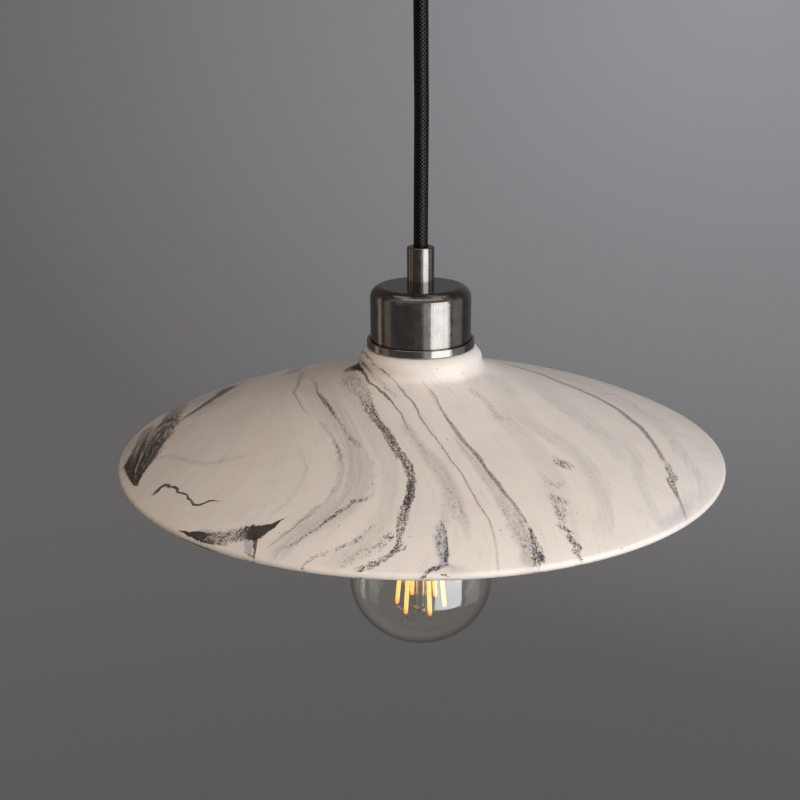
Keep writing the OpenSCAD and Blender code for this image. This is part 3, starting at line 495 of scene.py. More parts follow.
WASHES = [
    [(318, 384, 14, .5), (332, 405, 15, .6), (344, 428, 14, .75), (355, 450, 14, .85),
     (358, 472, 16, .85), (352, 492, 14, .8), (336, 508, 12, .8), (318, 521, 11, .8), (300, 534, 10, .8),
     (282, 549, 9, .7)],
    [(342, 380, 12, .6), (356, 404, 11, .55), (370, 428, 10, .5), (383, 452, 10, .45), (391, 478, 10, .4),
     (388, 505, 10, .4), (378, 528, 10, .55), (360, 546, 10, .6), (338, 560, 9, .6)],
    [(324, 424, 3, .8), (334, 444, 3, .9), (341, 463, 3.4, .9), (340, 480, 3.4, .9), (330, 498, 3.4, .9),
     (314, 513, 3.6, .9), (297, 527, 3.6, .9), (277, 542, 3.4, .8)],
    [(455, 436, 3, .5), (470, 456, 4, .7), (484, 474, 5, .8), (498, 494, 6.6, .85), (510, 513, 8, .85),
     (520, 532, 9, .85), (527, 548, 9, .85), (531, 564, 8, .8)],
    [(406, 428, 4, .6), (420, 446, 6, .65), (434, 463, 8, .7), (444, 478, 9, .8), (451, 493, 10, .8),
     (457, 508, 9, .75), (463, 522, 7, .6), (468, 536, 4, .4)],
    [(446, 480, 6, .5), (447, 498, 6, .6), (445, 515, 5, .6), (443, 530, 6, .5)],
    [(441, 528, 7, 1), (441, 540, 8, 1), (443, 552, 8, 1), (444, 565, 7, 1)],
    [(495, 378, 7, .5), (513, 404, 7, .55), (532, 424, 7, .5), (555, 438, 6, .45), (575, 452, 6, .45),
     (590, 470, 7, .45), (599, 488, 8, .45), (604, 508, 8, .4), (602, 530, 8, .35)],
    [(530, 427, 1.6, .4), (560, 440, 2, .5), (576, 453, 2, .5), (589, 468, 2, .5), (598, 482, 2, .5),
     (605, 495, 2, .55), (611, 510, 2.2, .6), (613, 522, 2.2, .5), (610, 533, 2.2, .4)],
    [(470, 372, 6, .35), (488, 396, 7, .45), (508, 420, 8, .45), (530, 445, 9, .4), (548, 470, 10, .35),
     (560, 500, 10, .35), (572, 535, 9, .35)],
    [(528, 380, 5, .35), (556, 399, 6, .4), (584, 420, 6, .4), (606, 438, 6, .35), (622, 458, 5, .3)],
    [(622, 440, 3, .3), (633, 453, 4, .45), (638, 468, 4.4, .5), (642, 484, 4.4, .5), (648, 500, 4.4, .5),
     (655, 514, 5, .5), (663, 526, 4, .4)],
    [(650, 420, 2.4, .35), (664, 430, 2.8, .45), (676, 445, 3, .5), (687, 460, 3, .45),
     (697, 474, 3, .45), (704, 488, 3.4, .5), (702, 500, 3.4, .4)],
    [(560, 376, 4, .3), (600, 392, 5, .35), (640, 412, 5, .35), (672, 432, 5, .3)],
    [(150, 457, 1.4, .4), (165, 456, 1.6, .5), (180, 458, 1.6, .55), (195, 461, 1.8, .55),
     (210, 463, 2, .55), (222, 461, 2, .5), (242, 457, 2.4, .4)],
    [(240, 383, 3, .6), (222, 391, 4, .8), (206, 398, 5, .9), (190, 406, 5, .8), (178, 413, 3, .6)],
    [(232, 392, 3, .35), (214, 405, 4, .5), (198, 413, 3, .4)],
    [(150, 430, 7, .7), (144, 443, 8, .8), (138, 456, 8, .8), (134, 470, 6, .6)],
    [(249, 542, 3.6, 1), (249.5, 548, 4.4, 1.1), (250, 554, 4, 1)],
    [(450, 570, 8, .5), (470, 572, 6, .3)],
    [(300, 448, 2, .3), (306, 468, 2.4, .4), (300, 485, 2.4, .35), (288, 500, 2.4, .3),
     (270, 516, 2, .25)],
    [(692, 492, 6, .35), (680, 508, 7, .35), (664, 520, 7, .3)],
]
BLUES = [
    [(535, 550, 3, .6), (541, 556, 4, .9), (543, 562, 3, .6)],
    [(436, 566, 2, .5), (445, 564, 3, .9), (452, 567, 2, .6)],
    [(197, 532, 2, .5), (206, 533, 3, .9), (215, 535, 2, .5)],
    [(246, 541, 2, .5), (249, 548, 3, .6), (250, 554, 2.5, .5)],
    [(441, 532, 4, .3), (441, 545, 5, .4), (443, 556, 4, .4)],
    [(662, 525, 5, .3), (676, 517, 6, .4), (692, 506, 5, .3)],
]
# Flow: bands of clay that run from the neck to the rim
FLOWS = [
    [(182, 406), (165, 426), (150, 450), (139, 477)],
    [(300, 372), (322, 398), (338, 440), (342, 470), (330, 498), (300, 522), (262, 553)],
    [(349, 372), (369, 408), (391, 440), (409, 470), (409, 500), (400, 535), (372, 565)],
    [(393, 379), (424, 422), (461, 473), (487, 517), (498, 568)],
    [(422, 380), (450, 423), (484, 466), (515, 506), (538, 560)],
    [(478, 366), (513, 404), (560, 440), (598, 482), (613, 522)],
    [(505, 364), (560, 382), (610, 405), (650, 440), (672, 476), (685, 518)],
]
# Least pixels to measure a width over, and the largest half width in millimetres
LEAST_SPAN, WIDEST = 2, 14


def from_photo(path, weight=1):
    """A vein's flattened points, from its pixels. Pixels that miss the shade are left out."""
    curve = [np.array(p[:2], float) for p in path]
    found = []
    for i, (x, y, width, strength) in enumerate(path):
        place = on_clay(x, y)
        if place is None:
            continue
        ahead = curve[min(i + 1, len(curve) - 1)] - curve[max(i - 1, 0)]
        ahead /= np.linalg.norm(ahead)
        span = max(width, LEAST_SPAN)
        nx, ny = -ahead[1] * span, ahead[0] * span
        sides = [s for s in (on_clay(x + nx, y + ny), on_clay(x - nx, y - ny)) if s is not None]
        if not sides:
            continue
        half = sum(math.hypot(s[0] - place[0], s[1] - place[1]) for s in sides) / len(sides)
        found.append((*place, min(half, WIDEST) * width / span, strength * weight))
    return found


# Bands' turn about the axis, as the veins bend it, spread over the whole shade
centres, bends = [], []
for band in FLOWS:
    points = np.array([p for p in (on_clay(x, y) for x, y in band) if p is not None])
    points = spline(points, 6.0)
    turns = np.unwrap(np.arctan2(points[:, 1], points[:, 0]))
    middle = turns[np.abs(np.hypot(points[:, 0], points[:, 1]) - 95).argmin()]
    centres += [tuple(p) for p in points]
    bends += [middle - t for t in turns]
for k in range(9):
    a = math.radians(10 + 20 * k)
    for away, bend in ((20, 0.75), (45, 0.42), (70, 0.16), (95, 0.0), (125, -0.12), (152, -0.15)):
        centres.append((away * math.cos(a), away * math.sin(a)))
        bends.append(bend + 0.08 * math.sin(3 * a + away / 30))
centres = np.array(centres) / 100
bends = np.array(bends)


def thin_plate(d2):
    return 0.5 * d2 * np.log(d2 + 1e-9)


def gaps(a, b):
    return ((a[:, None, :] - b[None, :, :]) ** 2).sum(2)


def plane(points):
    return np.hstack([np.ones((len(points), 1)), points])


count = len(centres)
system = np.zeros((count + 3, count + 3))
system[:count, :count] = thin_plate(gaps(centres, centres)) + 0.05 * np.eye(count)
system[:count, count:] = plane(centres)
system[count:, :count] = plane(centres).T
weights = np.linalg.solve(system, np.concatenate([bends, np.zeros(3)]))
flat = np.stack([flat_x, flat_y], 1) / 100
bend_at = thin_plate(gaps(flat, centres)) @ weights[:count] + plane(flat) @ weights[count:]
flow_turn = np.arctan2(flat_y, flat_x) + bend_at
away = np.hypot(flat_x, flat_y) / 100
flow = np.stack([np.cos(flow_turn), np.sin(flow_turn), away], 1).astype(np.float32)
shade.data.attributes.new("flow", "FLOAT_VECTOR", "POINT").data.foreach_set("vector", flow.ravel())

# Veins of the far side, which the photograph doesn't show, bent in the same way
FAR_VEINS, FAR_POINTS = 18, 8
FAR_START, FAR_SWEEP = 38, 112
dice = random.Random(11)
far_lines, far_flecks, far_washes = [], [], []
for i in range(FAR_VEINS):
    turn = math.radians(FAR_START + FAR_SWEEP * (i + 0.5 * dice.random()) / FAR_VEINS)
    start = dice.uniform(26, 60) if i % 3 else 24
    end = dice.uniform(115, 157)
    width = dice.choice([0.35, 0.5, 1.5, 2.6, 0.4, 3.8, 0.6])
    lean = dice.uniform(-0.1, 0.1)
    vein = []
    for k in range(FAR_POINTS):
        s = start + (end - start) * k / (FAR_POINTS - 1)
        bend = 0.75 * max(0.0, 1 - (s - 20) / 75) ** 1.3 - 0.15 * max(0.0, (s - 95) / 57)
        a = turn - 0.6 * bend + lean * k / (FAR_POINTS - 1) + dice.uniform(-0.02, 0.02)
        hidden = math.radians(30 + 24 * (s - 25) / 127) - abs(a - math.pi / 2)
        taper = math.sin(math.pi * (k + 0.5) / FAR_POINTS) ** 0.7
        strength = dice.uniform(0.3, 0.95) * taper ** 0.5 * min(max(hidden / 0.12, 0.0), 1.0)
        vein.append((s * math.cos(a), s * math.sin(a), width * taper * dice.uniform(0.6, 1.5), strength))
    if width < 1:
        far_lines.append(vein)
    else:
        far_flecks.append(vein)
        far_washes.append([(x, y, 2.6 * w, 0.8 * k) for x, y, w, k in vein])


def vein_field(vein):
    """For each vertex: signed distance across a vein, its half width and its strength there."""
    curve = spline(vein, 1.0)
    ahead = np.gradient(curve[:, :2], axis=0)
    ahead /= np.linalg.norm(ahead, axis=1)[:, None] + 1e-9
    gap = np.hypot(flat_x[:, None] - curve[None, :, 0], flat_y[:, None] - curve[None, :, 1])
    near = gap.argmin(1)
    dx, dy = flat_x - curve[near, 0], flat_y - curve[near, 1]
    across = ahead[near, 0] * dy - ahead[near, 1] * dx
    along = ahead[near, 0] * dx + ahead[near, 1] * dy
    width = np.maximum(curve[near, 2], 0.12)
    ends = (near == 0) * np.maximum(-along, 0) + (near == len(curve) - 1) * np.maximum(along, 0)
    fade = 1 - np.clip(ends / (1.5 + width), 0, 1)
    strength = np.clip(curve[near, 3], 0, 1.6) * fade
    strength[np.abs(across) > 4 * width + 4] = 0
    return across, width, strength, (np.abs(across) < 4 * width + 8) & (ends < 8)


# Distance, width and strength where no vein is near
FAR_OFF = [99.0, 1.0, 0.0]


def store(veins, name):
    """Puts veins that keep apart into shared vertex attributes and gives the attributes' names."""
    channels = []
    for vein in veins:
        if len(vein) < 2:
            continue
        across, width, strength, room = vein_field(vein)
        for taken, data in channels:
            if not (taken & room).any():
                break
        else:
            taken, data = np.zeros(len(flat_x), bool), np.tile(FAR_OFF, (len(flat_x), 1))
            channels.append((taken, data))
        data[room] = np.stack([across, width, strength], 1)[room]
        taken |= room
    names = []
    for k, (_, data) in enumerate(channels):
        attribute = shade.data.attributes.new(f"{name}_{k}", "FLOAT_VECTOR", "POINT")
        attribute.data.foreach_set("vector", data.astype(np.float32).ravel())
        names.append(attribute.name)
    return names


line_names = store([from_photo(path, weight) for weight, path in LINES] + far_lines, "line")
fleck_names = store([from_photo(path, weight) for weight, path in FLECKS] + far_flecks, "fleck")
blue_names = store([from_photo(path) for path in BLUES], "blue")
wash_names = store([from_photo(path) for path in WASHES] + far_washes, "wash")

clay = Tree("marbled_clay")
place = clay.place()
shake = clay.noise(place, 240, 4, 0.6)
wobble = clay.minus(shake, 0.5)
flow_place = clay.node("ShaderNodeAttribute", attribute_name="flow").outputs["Vector"]
bands = clay.noise(clay.stretch(flow_place, (7, 7, 1.2)), 1.0, 3, 0.55, 0.3)
streaks = clay.noise(clay.stretch(flow_place, (42, 42, 3.0)), 1.0, 5, 0.65, 0.35)
threads = clay.noise(clay.stretch(flow_place, (95, 95, 8)), 1.0, 4, 0.65, 0.3)
long_grain = clay.noise(clay.stretch(flow_place, (140, 140, 62)), 1.0, 3, 0.7, 0.4)
grain = clay.noise(place, 1500, 3, 0.7)
mottle = clay.noise(place, 60, 5, 0.7)


def density(names, wobble_share, low, high):
    """Largest share that any vein of these attributes has at a point, with wandering edges."""
    found = 0.0
    for name in names:
        data = clay.node("ShaderNodeAttribute", attribute_name=name)
        across, width, strength = clay.parts(data.outputs["Vector"])
        moved = clay.plus(across, clay.times(wobble, wobble_share))
        ratio = clay.math("DIVIDE", clay.math("ABSOLUTE", moved), width)
        share = clay.times(clay.step(ratio, low, high, 1.0, 0.0), strength)
        found = clay.math("MAXIMUM", found, share)
    return found


wash = density(wash_names, 5.0, 0.45, 1.25)
blue = density(blue_names, 4.0, 0.3, 1.3)
line = density(line_names, 1.3, 0.35, 1.25)
fleck = density(fleck_names, 2.6, 0.5, 1.25)

# Specks crowd where a vein is dense and where the flow's threads are dark
speck_level = clay.plus(clay.times(grain, 0.62), clay.times(long_grain, 0.38))
speck_level = clay.plus(speck_level, clay.times(threads, 0.32))
speck_level = clay.step(speck_level, 0.52, 0.82, 0.0, 1.0, "LINEAR")
fleck_mask = clay.step(clay.minus(fleck, speck_level), -0.06, 0.5)
fleck_mask = clay.times(fleck_mask, clay.step(fleck, 0.02, 0.3))
line_mask = clay.times(line, clay.step(grain, 0.42, 0.56, 0.45, 1.1))
wash_mask = clay.times(wash, clay.step(streaks, 0.28, 0.66, 0.35, 1.0))
wash_specks = clay.times(wash, clay.step(grain, 0.55, 0.67))
# Pinholes: small dents in the bump, painted dark brown inside as painted shade in them
pits = clay.cells(place, 260)
pits_dented_and_shaded = clay.times(
    clay.step(pits["Distance"], 0.05, 0.10, 1.0, 0.0),
    clay.step(clay.parts(pits["Color"])[0], 0.82, 0.86),
)

# Body of the clay in warm and grey bands, and its layers: where each lies, its share and its colour
body = clay.mix(clay.step(bands, 0.36, 0.64), (0.785, 0.712, 0.655, 1), (0.765, 0.708, 0.668, 1))
soot = clay.mix(clay.step(shake, 0.42, 0.62), (0.028, 0.018, 0.012, 1), (0.012, 0.012, 0.014, 1))
umber = clay.mix(clay.step(shake, 0.40, 0.60), (0.050, 0.034, 0.024, 1), (0.028, 0.024, 0.022, 1))
LAYERS = [
    (clay.step(streaks, 0.50, 0.70), 0.20, (0.50, 0.455, 0.415, 1)),
    (clay.step(mottle, 0.46, 0.72), 0.22, (0.56, 0.49, 0.43, 1)),
    (clay.step(grain, 0.58, 0.70), 0.16, (0.36, 0.31, 0.27, 1)),
    (wash_mask, 0.56, (0.405, 0.385, 0.375, 1)),
    (wash_specks, 0.52, (0.15, 0.12, 0.10, 1)),
    (blue, 0.72, (0.36, 0.41, 0.56, 1)),
    (line_mask, 0.87, umber),
    (fleck_mask, 0.95, soot),
    # Painted shade in the pinholes
    (pits_dented_and_shaded, 0.7, (0.12, 0.08, 0.055, 1)),
]
for mask, share, colour in LAYERS:
    body = clay.mix(clay.times(mask, share), body, colour)
clay.set(Base_Color=body, Roughness=clay.step(streaks, 0.3, 0.7, 0.30, 0.42), Specular_IOR_Level=0.36)
fine_relief = clay.minus(clay.times(grain, 0.035), clay.times(pits_dented_and_shaded, 0.35))
clay.bump(clay.plus(clay.noise(place, 55, 2, 0.4), fine_relief), 0.9 * MM, 0.5)
dress(shade, clay.material)


# Metals
def metal(name, colour, rough, brush=(1, 1, 30), brush_scale=60, stain=0.25, depth=0.02):
    """Brushed metal: fine lines along a turned piece and clouds of tarnish. depth is in millimetres."""
    t = Tree(name)
    place = t.place()
    turn, radius, z = around_axis(t, place)
    lines = t.node("ShaderNodeCombineXYZ")
    for part, scale, socket in zip((turn, radius, z), brush, lines.inputs):
        t.join(t.times(part, scale), socket)
    brushed = t.noise(lines.outputs[0], brush_scale, 3, 0.6)
    clouds = t.noise(place, 220, 5, 0.65)
    tone = t.mix(t.step(clouds, 0.35, 0.65), rgba(colour, 1 - stain), rgba(colour))
    tone = t.mix(t.times(t.step(brushed, 0.35, 0.7), 0.35), tone, rgba(colour, 0.72))
    worn = t.plus(
        t.step(brushed, 0.3, 0.7, rough - 0.05, rough + 0.07), t.step(clouds, 0.3, 0.7, -0.03, 0.04)
    )
    t.set(Base_Color=tone, Metallic=1.0, Roughness=worn)
    t.bump(brushed, depth * MM, 0.6)
    return t.material


nickel = metal("antique_nickel", (0.335, 0.311, 0.288), 0.15, (30, 0, 12), 1, 0.2, 0.004)
bright_nickel = metal("tray_nickel", (0.42, 0.385, 0.35), 0.16, (30, 0, 12), 1, 0.10, 0.004)
steel = metal("zinc_steel", (0.60, 0.61, 0.63), 0.32, (3, 3, 60), 40, 0.18)
brass = metal("brass", (0.80, 0.60, 0.26), 0.28, (3, 3, 60), 40, 0.2)
cap_metal = metal("cap_metal", (0.78, 0.77, 0.75), 0.22, (3, 3, 60), 40, 0.12)
wire_metal = metal("wire_metal", (0.72, 0.60, 0.50), 0.25, (3, 3, 60), 40, 0.2)


# Plastics, rubber, porcelain
def plain(name, colour, rough, grain_scale=900, grain_depth=0.02, vary=0.12, coat=0.0):
    """A cloudy, fine-grained surface. grain_depth is in millimetres."""
    t = Tree(name)
    place = t.place()
    grain = t.noise(place, grain_scale, 3, 0.55)
    clouds = t.noise(place, 70, 3, 0.5)
    tone = t.mix(t.step(clouds, 0.3, 0.7), rgba(colour, 1 - vary), rgba(colour))
    t.set(Base_Color=tone, Roughness=t.step(grain, 0.3, 0.7, rough - 0.05, rough + 0.06), Coat_Weight=coat)
    t.bump(grain, grain_depth * MM, 0.5)
    return t.material


black_plastic = plain("black_plastic", (0.035, 0.034, 0.033), 0.42)
white_plastic = plain("white_plastic", (0.76, 0.76, 0.73), 0.4)
rubber = plain("gasket_rubber", (0.03, 0.03, 0.03), 0.7, 600, 0.05)
porcelain = plain("porcelain", (0.84, 0.83, 0.80), 0.16, 300, 0.02, 0.05, 0.4)
black_glass = plain("black_glass", (0.02, 0.02, 0.024), 0.12, 300, 0.02, 0.1, 0.5)
board = plain("driver_board", (0.05, 0.20, 0.10), 0.4)
brown = plain("brown_core", (0.16, 0.06, 0.02), 0.38)
blue = plain("blue_core", (0.02, 0.08, 0.35), 0.38)


def earth():
    """Plastic in stripes of green and yellow."""
    t = Tree("earth_core")
    x, y, _ = t.parts(t.place())
    band = t.math("SINE", t.times(t.plus(x, y), 2600))
    grain = t.noise(t.place(), 900, 3)
    tone = t.mix(t.step(band, -0.1, 0.1), (0.55, 0.55, 0.02, 1), (0.03, 0.25, 0.05, 1))
    t.set(Base_Color=tone, Roughness=t.step(grain, 0.3, 0.7, 0.35, 0.45))
    t.bump(grain, 0.02 * MM, 0.5)
    return t.material


earth_core = earth()


# Braid of the cable
def braid():
    t = Tree("black_braid")
    turn, _, z = around_axis(t, t.place())
    half = BRAID_STRANDS / 2
    climb = t.times(z, 2 * math.pi / BRAID_PITCH)
    right = t.math("COSINE", t.times(t.minus(turn, climb), half))
    left = t.math("COSINE", t.times(t.plus(turn, climb), half))
    threads = t.math("SINE", t.times(t.plus(turn, climb), half * 5))
    threads_left = t.math("SINE", t.times(t.minus(turn, climb), half * 5))
    fuzz = t.noise(t.place(), 2600, 3, 0.7)
    weave = t.plus(t.times(t.plus(threads, threads_left), 0.25), t.math("MAXIMUM", right, left))
    # Painted shade: base colour darker in the gaps between the strands, lighter on their crowns
    tone = t.mix(t.step(weave, 0.1, 1.0), (0.0003, 0.0003, 0.0003, 1), (0.0024, 0.0023, 0.0026, 1))
    tone = t.mix(t.times(t.step(fuzz, 0.55, 0.72), 0.25), tone, (0.006, 0.006, 0.007, 1))
    t.set(
        Base_Color=tone,
        Roughness=t.step(fuzz, 0.3, 0.7, 0.26, 0.36),
        # Painted shade: almost no shine in the gaps between the strands
        Specular_IOR_Level=t.step(weave, 0.1, 0.95, 0.01, 0.62),
    )
    t.bump(t.plus(weave, t.times(fuzz, 0.5)), 0.06 * MM, 0.6)
    return t.material


black_braid = braid()
dress(cable, black_braid)


# Bulb, with the glass as a finer turned shape
BULB_LOW, WAIST, CAP_LOW = -148.5, -117.5, -37.0
BULB_R, BOWL, GLASS_WALL = 34.5, WAIST - BULB_LOW, 1.0
NECK_JOIN, NECK_OUT, MOUTH_R = CAP_LOW - 2.5, 14.6, 12.3
GLASS = np.array(
    [(NECK_OUT, NECK_JOIN), (NECK_OUT + 1.2, NECK_JOIN - 26.5), (BULB_R, WAIST + 29.5), (BULB_R, WAIST)]
)
GLASS_STEPS = 40


def bowl(r, depth, angles):
    """Round bottom of the bulb, at angles in degrees below its waist."""
    return [(r * math.cos(a), WAIST - depth * math.sin(a)) for a in map(math.radians, angles)]


glass_out = (
    [(MOUTH_R, CAP_LOW + 6), (MOUTH_R, CAP_LOW), (12.6, CAP_LOW - 0.8), (14.1, NECK_JOIN + 0.7)]
    + [tuple(bezier(GLASS, i / GLASS_STEPS)) for i in range(GLASS_STEPS + 1)]
    + bowl(BULB_R, BOWL, range(3, 90, 3))
    + [(0, BULB_LOW)]
)
glass_in = (
    [(0, BULB_LOW + GLASS_WALL)]
    + bowl(BULB_R - GLASS_WALL, BOWL - GLASS_WALL, range(87, 0, -3))
    + [tuple(beside(GLASS, i / GLASS_STEPS, GLASS_WALL)) for i in range(GLASS_STEPS, -1, -1)]
    + [(11.5, CAP_LOW - 0.8), (11.3, CAP_LOW), (11.3, CAP_LOW + 6)]
)


def clear(name, face, edge, rough, **more):
    """Glass that is darker where it is seen edge on."""
    t = Tree(name)
    smear = t.noise(t.place(), 40, 2, 0.5)
    facing = t.node("ShaderNodeLayerWeight").outputs["Facing"]
    tone = t.mix(t.step(facing, 0.55, 0.9), rgba(face), rgba(edge))
    t.set(Base_Color=tone, Roughness=t.step(smear, 0.35, 0.75, rough, rough + 0.02))
    t.set(Transmission_Weight=1.0, **more)
    t.bump(t.noise(t.place(), 24, 2, 0.4), 0.12 * MM, 0.4)
    return t.material


# The faint warm emission is a painted glow of the filaments' light in the glass
glass = clear(
    "clear_glass", (0.98, 0.985, 0.97), (0.60, 0.66, 0.48), 0.0,
    IOR=1.6, Coat_Weight=0.95, Emission_Color=(1.0, 0.84, 0.58, 1), Emission_Strength=0.006,
)
stem_glass = clear("stem_glass", (0.96, 0.98, 0.97), (0.80, 0.84, 0.78), 0.01, IOR=1.47)

envelope = lathe(
    "bulb_envelope", [(r * MM, Z_SEAT + z * MM) for r, z in glass_out + glass_in], sharp=60
)
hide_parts("bulb_glass")
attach(envelope, "bulb")
dress(envelope, glass)


# Filaments: a yellow stick with a metal pin at each end
FILAMENTS, FIRST, STICK = 6, -8, 42
FOOT_R, FOOT_LEVEL, HEAD_R = 12, -133.6, 8
HEAD_LEVEL = FOOT_LEVEL + math.sqrt(STICK**2 - (FOOT_R - HEAD_R) ** 2)
# Half of a filament's outline, as distances from its end and radii: the pin, then the stick
STICK_END = [(0.0, 0.30), (1.1, 0.30), (1.1, 0.8), (1.8, 1.05)]


def lit():
    t = Tree("lit_filament")
    lumps = t.noise(t.place(), 700, 3, 0.6)
    z = t.parts(t.place())[2]
    tone = t.mix(t.step(lumps, 0.35, 0.65), (1.0, 0.48, 0.10, 1), (1.0, 0.60, 0.17, 1))
    for level in (FOOT_LEVEL, HEAD_LEVEL):
        far = t.math("ABSOLUTE", t.minus(z, Z_SEAT + level * MM))
        tone = t.mix(t.step(far, 2.0 * MM, 4.5 * MM, 1.0, 0.0), tone, (0.85, 0.30, 0.015, 1))
    t.set(Base_Color=(1.0, 0.62, 0.22, 1), Roughness=t.step(lumps, 0.3, 0.7, 0.5, 0.6))
    t.set(Emission_Color=tone, Emission_Strength=1.35)
    t.bump(lumps, 0.1 * MM, 0.5)
    return t.material


lit_filament = lit()
verts, faces, pin_faces = [], [], set()
SIDES = 14
for i in range(FILAMENTS):
    a = math.radians(FIRST + 60 * i)
    out = Vector((math.cos(a), math.sin(a), 0))
    top = out * HEAD_R * MM + Vector((0, 0, Z_SEAT + HEAD_LEVEL * MM))
    low = out * FOOT_R * MM + Vector((0, 0, Z_SEAT + FOOT_LEVEL * MM))
    line = (low - top).normalized()
    u = line.orthogonal().normalized()
    v = line.cross(u)
    length = (low - top).length
    rings = STICK_END + [(length / MM - d, r) for d, r in reversed(STICK_END)]
    base = len(verts)
    for d, r in rings:
        for k in range(SIDES):
            b = 2 * math.pi * k / SIDES
            verts.append(top + line * d * MM + (u * math.cos(b) + v * math.sin(b)) * r * MM)
    for j in range(len(rings) - 1):
        for k in range(SIDES):
            n, here, ahead = (k + 1) % SIDES, base + j * SIDES, base + (j + 1) * SIDES
            if j in (0, len(rings) - 2):
                pin_faces.add(len(faces))
            faces.append([here + k, here + n, ahead + n, ahead + k])
    pin_faces.update((len(faces), len(faces) + 1))
    faces.append([base + k for k in reversed(range(SIDES))])
    faces.append([base + (len(rings) - 1) * SIDES + k for k in range(SIDES)])
sticks = new_object("filament_sticks", verts, faces, 50)
sticks.data.materials.append(lit_filament)
sticks.data.materials.append(wire_metal)
for f in pin_faces:
    sticks.data.polygons[f].material_index = 1
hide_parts("led_filaments")
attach(sticks, "bulb")

# Finishes of the solids that stay
FINISH = {
    nickel: ["cord_grip", "holder_cup", "canopy", "canopy_grip", "canopy_side_screws"],
    bright_nickel: ["shade_tray"],
    steel: [
        "ceiling_bracket", "terminal_block_screws", "terminal_block_fixing_screw", "bracket_earth_screw",
        "canopy_grip_screw", "canopy_nipple", "canopy_lock_nut", "cord_grip_screw", "holder_nipple",
        "holder_lock_nut", "holder_terminal_screws",
    ],
    brass: [
        "terminal_block_sleeves", "bracket_earth_terminal", "screw_shell", "centre_contact",
        "holder_terminals",
    ],
    black_braid: ["canopy_cable_end", "holder_cable_end"],
    brown: ["canopy_live_core", "holder_live_core"],
    blue: ["canopy_neutral_core", "holder_neutral_core"],
    earth_core: ["canopy_earth_core", "holder_earth_core"],
    rubber: ["shade_gasket"],
    black_plastic: ["retaining_ring", "holder_cap", "holder_skirt"],
    white_plastic: ["terminal_block"],
    porcelain: ["holder_insert"],
    cap_metal: ["bulb_contact", "bulb_cap"],
    wire_metal: ["upper_filament_wires", "lower_filament_wires", "bulb_lead_wires"],
    black_glass: ["bulb_insulator"],
    board: ["led_driver"],
    stem_glass: ["bulb_stem"],
}
for material, names in FINISH.items():
    for name in names:
        dress(nodes[name], material)

# Floor that sweeps up into a wall all round, shown as a soft grey with a painted glow: lighter to the
# right, darker low down
FLOOR, WALL_R, CURVE, WALL_TOP = -1.8, 2.5, 0.8, 2.2
dish = [(0, FLOOR)] + [(r, FLOOR) for r in np.linspace(0.3, WALL_R - CURVE, 6)]
dish += [
    (WALL_R - CURVE + CURVE * math.sin(a), FLOOR + CURVE - CURVE * math.cos(a))
    for a in (math.radians(7.5 * k) for k in range(1, 13))
]
dish += [(WALL_R, z) for z in np.linspace(FLOOR + CURVE + 0.2, WALL_TOP, 12)]
backdrop = lathe("floor_and_backdrop", dish, 96, closed=False, sharp=80)
# Middle of the wall's glow, in metres to the right, and how fast it fades across and up
GLOW_X, GLOW_ACROSS, GLOW_UP = 0.75, 0.53, 0.62
paper = Tree("studio_paper")
x, y, z = paper.parts(paper.place())
right = paper.times(paper.minus(x, GLOW_X), GLOW_ACROSS)
down = paper.times(z, GLOW_UP)
away = paper.math("SQRT", paper.plus(paper.times(right, right), paper.times(down, down)))
glow_share = paper.math("SUBTRACT", 1.0, away, clamp=True)
low_grey = paper.mix(paper.step(z, -1.9, -1.2), (0.100, 0.096, 0.097, 1), (0.127, 0.120, 0.121, 1))
# Painted glow: a pool of light on the wall to the right, over a grey that is darker low down
shown = paper.mix(glow_share, low_grey, (0.300, 0.307, 0.325, 1))
# Strength of the painted glow in reflections, a little weaker towards the back
behind = paper.step(y, -1.6, -0.2, 0.74, 0.62)
ray = paper.node("ShaderNodeLightPath")
clear_rays = paper.math("MAXIMUM", ray.outputs["Is Camera Ray"], ray.outputs["Is Transmission Ray"])
level = paper.math("MAXIMUM", clear_rays, behind)
paper.set(Base_Color=(0.24, 0.235, 0.23, 1), Roughness=0.9)
glow = paper.node("ShaderNodeEmission")
paper.fill(glow, Color=shown, Strength=level)
shows_glow = paper.math("MAXIMUM", clear_rays, ray.outputs["Is Glossy Ray"])
choose(paper.tree, shows_glow, paper.shader.outputs[0], glow.outputs[0], "Material Output")
dress(backdrop, paper.material)

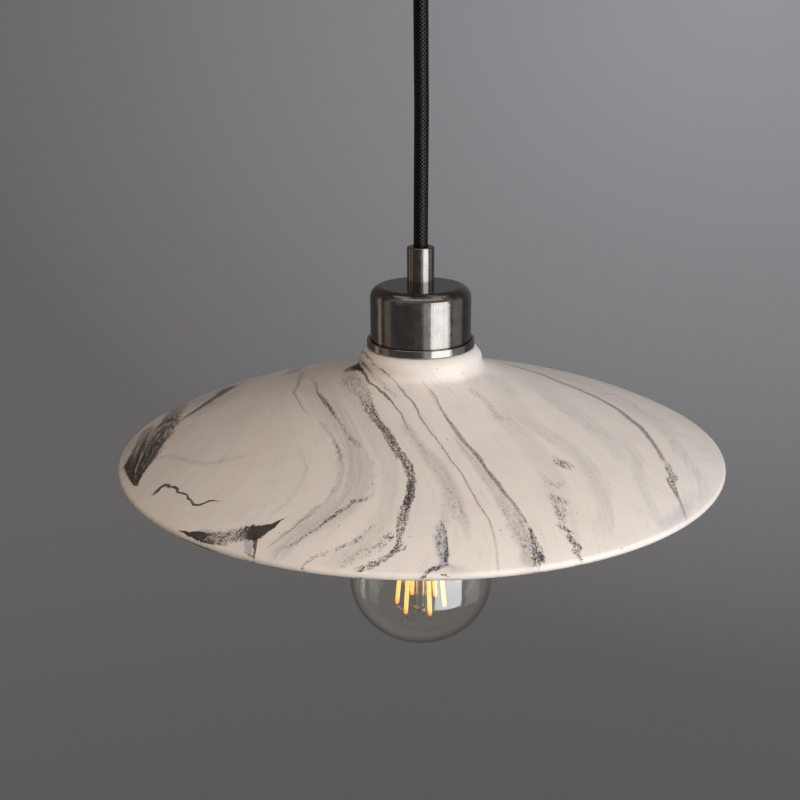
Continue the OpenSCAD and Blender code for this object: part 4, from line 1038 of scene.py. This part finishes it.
# Soft studio light
world = bpy.data.worlds.new("studio")
world.use_nodes = True
sky = world.node_tree
lit_by = sky.nodes["Background"]
lit_by.inputs["Color"].default_value = (1.0, 0.80, 0.60, 1)
lit_by.inputs["Strength"].default_value = 0.06
seen = sky.nodes.new("ShaderNodeBackground")
seen.inputs["Color"].default_value = (0.125, 0.120, 0.121, 1)
camera_ray = sky.nodes.new("ShaderNodeLightPath").outputs["Is Camera Ray"]
choose(sky, camera_ray, lit_by.outputs[0], seen.outputs[0], "World Output")
bpy.context.scene.world = world
bpy.context.scene.view_settings.view_transform = "Standard"
CENTRE = Vector((0, 0, -0.23))
WARM, COOL = (1.0, 0.80, 0.60), (0.97, 0.995, 1.02)


def softbox(name, turn, rise, away, width, height, power, colour):
    """A lamp that faces the shade, from degrees to the camera's right and above the level."""
    light = bpy.data.lights.new(name, "AREA")
    light.shape = "RECTANGLE"
    light.size, light.size_y = width, height
    light.energy = power
    light.color = colour
    obj = bpy.data.objects.new(name, light)
    bpy.context.scene.collection.objects.link(obj)
    turn, rise = math.radians(turn), math.radians(rise)
    side, front, up = math.sin(turn) * math.cos(rise), math.cos(turn) * math.cos(rise), math.sin(rise)
    obj.location = CENTRE + away * Vector((side, -front, up))
    obj.rotation_euler = (CENTRE - obj.location).to_track_quat("-Z", "Y").to_euler()
    return obj


softbox("key", 45, -5, 1.2, 0.96, 1.38, 11.2, COOL)
softbox("beside_key", 14, -5, 1.25, 0.34, 1.5, 0.7, COOL)
softbox("front_top", 10, 82, 1.25, 1.5, 1.4, 2.9, (1.0, 0.96, 0.92))
softbox("right", 92, -5, 1.3, 0.7, 1.5, 0.8, COOL)
softbox("left", -106, -5, 1.4, 0.28, 1.4, 0.55, WARM)
softbox("far_left", -80, -5, 1.4, 0.46, 1.4, 0.36, WARM)
# Sheen on the rounded edge of the metal, which leaves the clay as it is
sheen = softbox("edge_sheen", 5, 60, 1.3, 5.0, 1.6, 3.9, (1.0, 0.88, 0.78))
sheen.visible_diffuse = sheen.visible_transmission = False
# Fill kept out of the metal's reflections, cool from the right and warm from the left
for fill in (
    softbox("cool_fill", 50, 28, 1.3, 1.2, 0.9, 9.3, COOL),
    softbox("warm_fill", -14, 28, 1.3, 1.2, 0.9, 5.7, WARM),
    softbox("back_fill", 180, 2, 1.3, 1.2, 0.9, 3.0, COOL),
):
    fill.visible_glossy = fill.visible_transmission = False
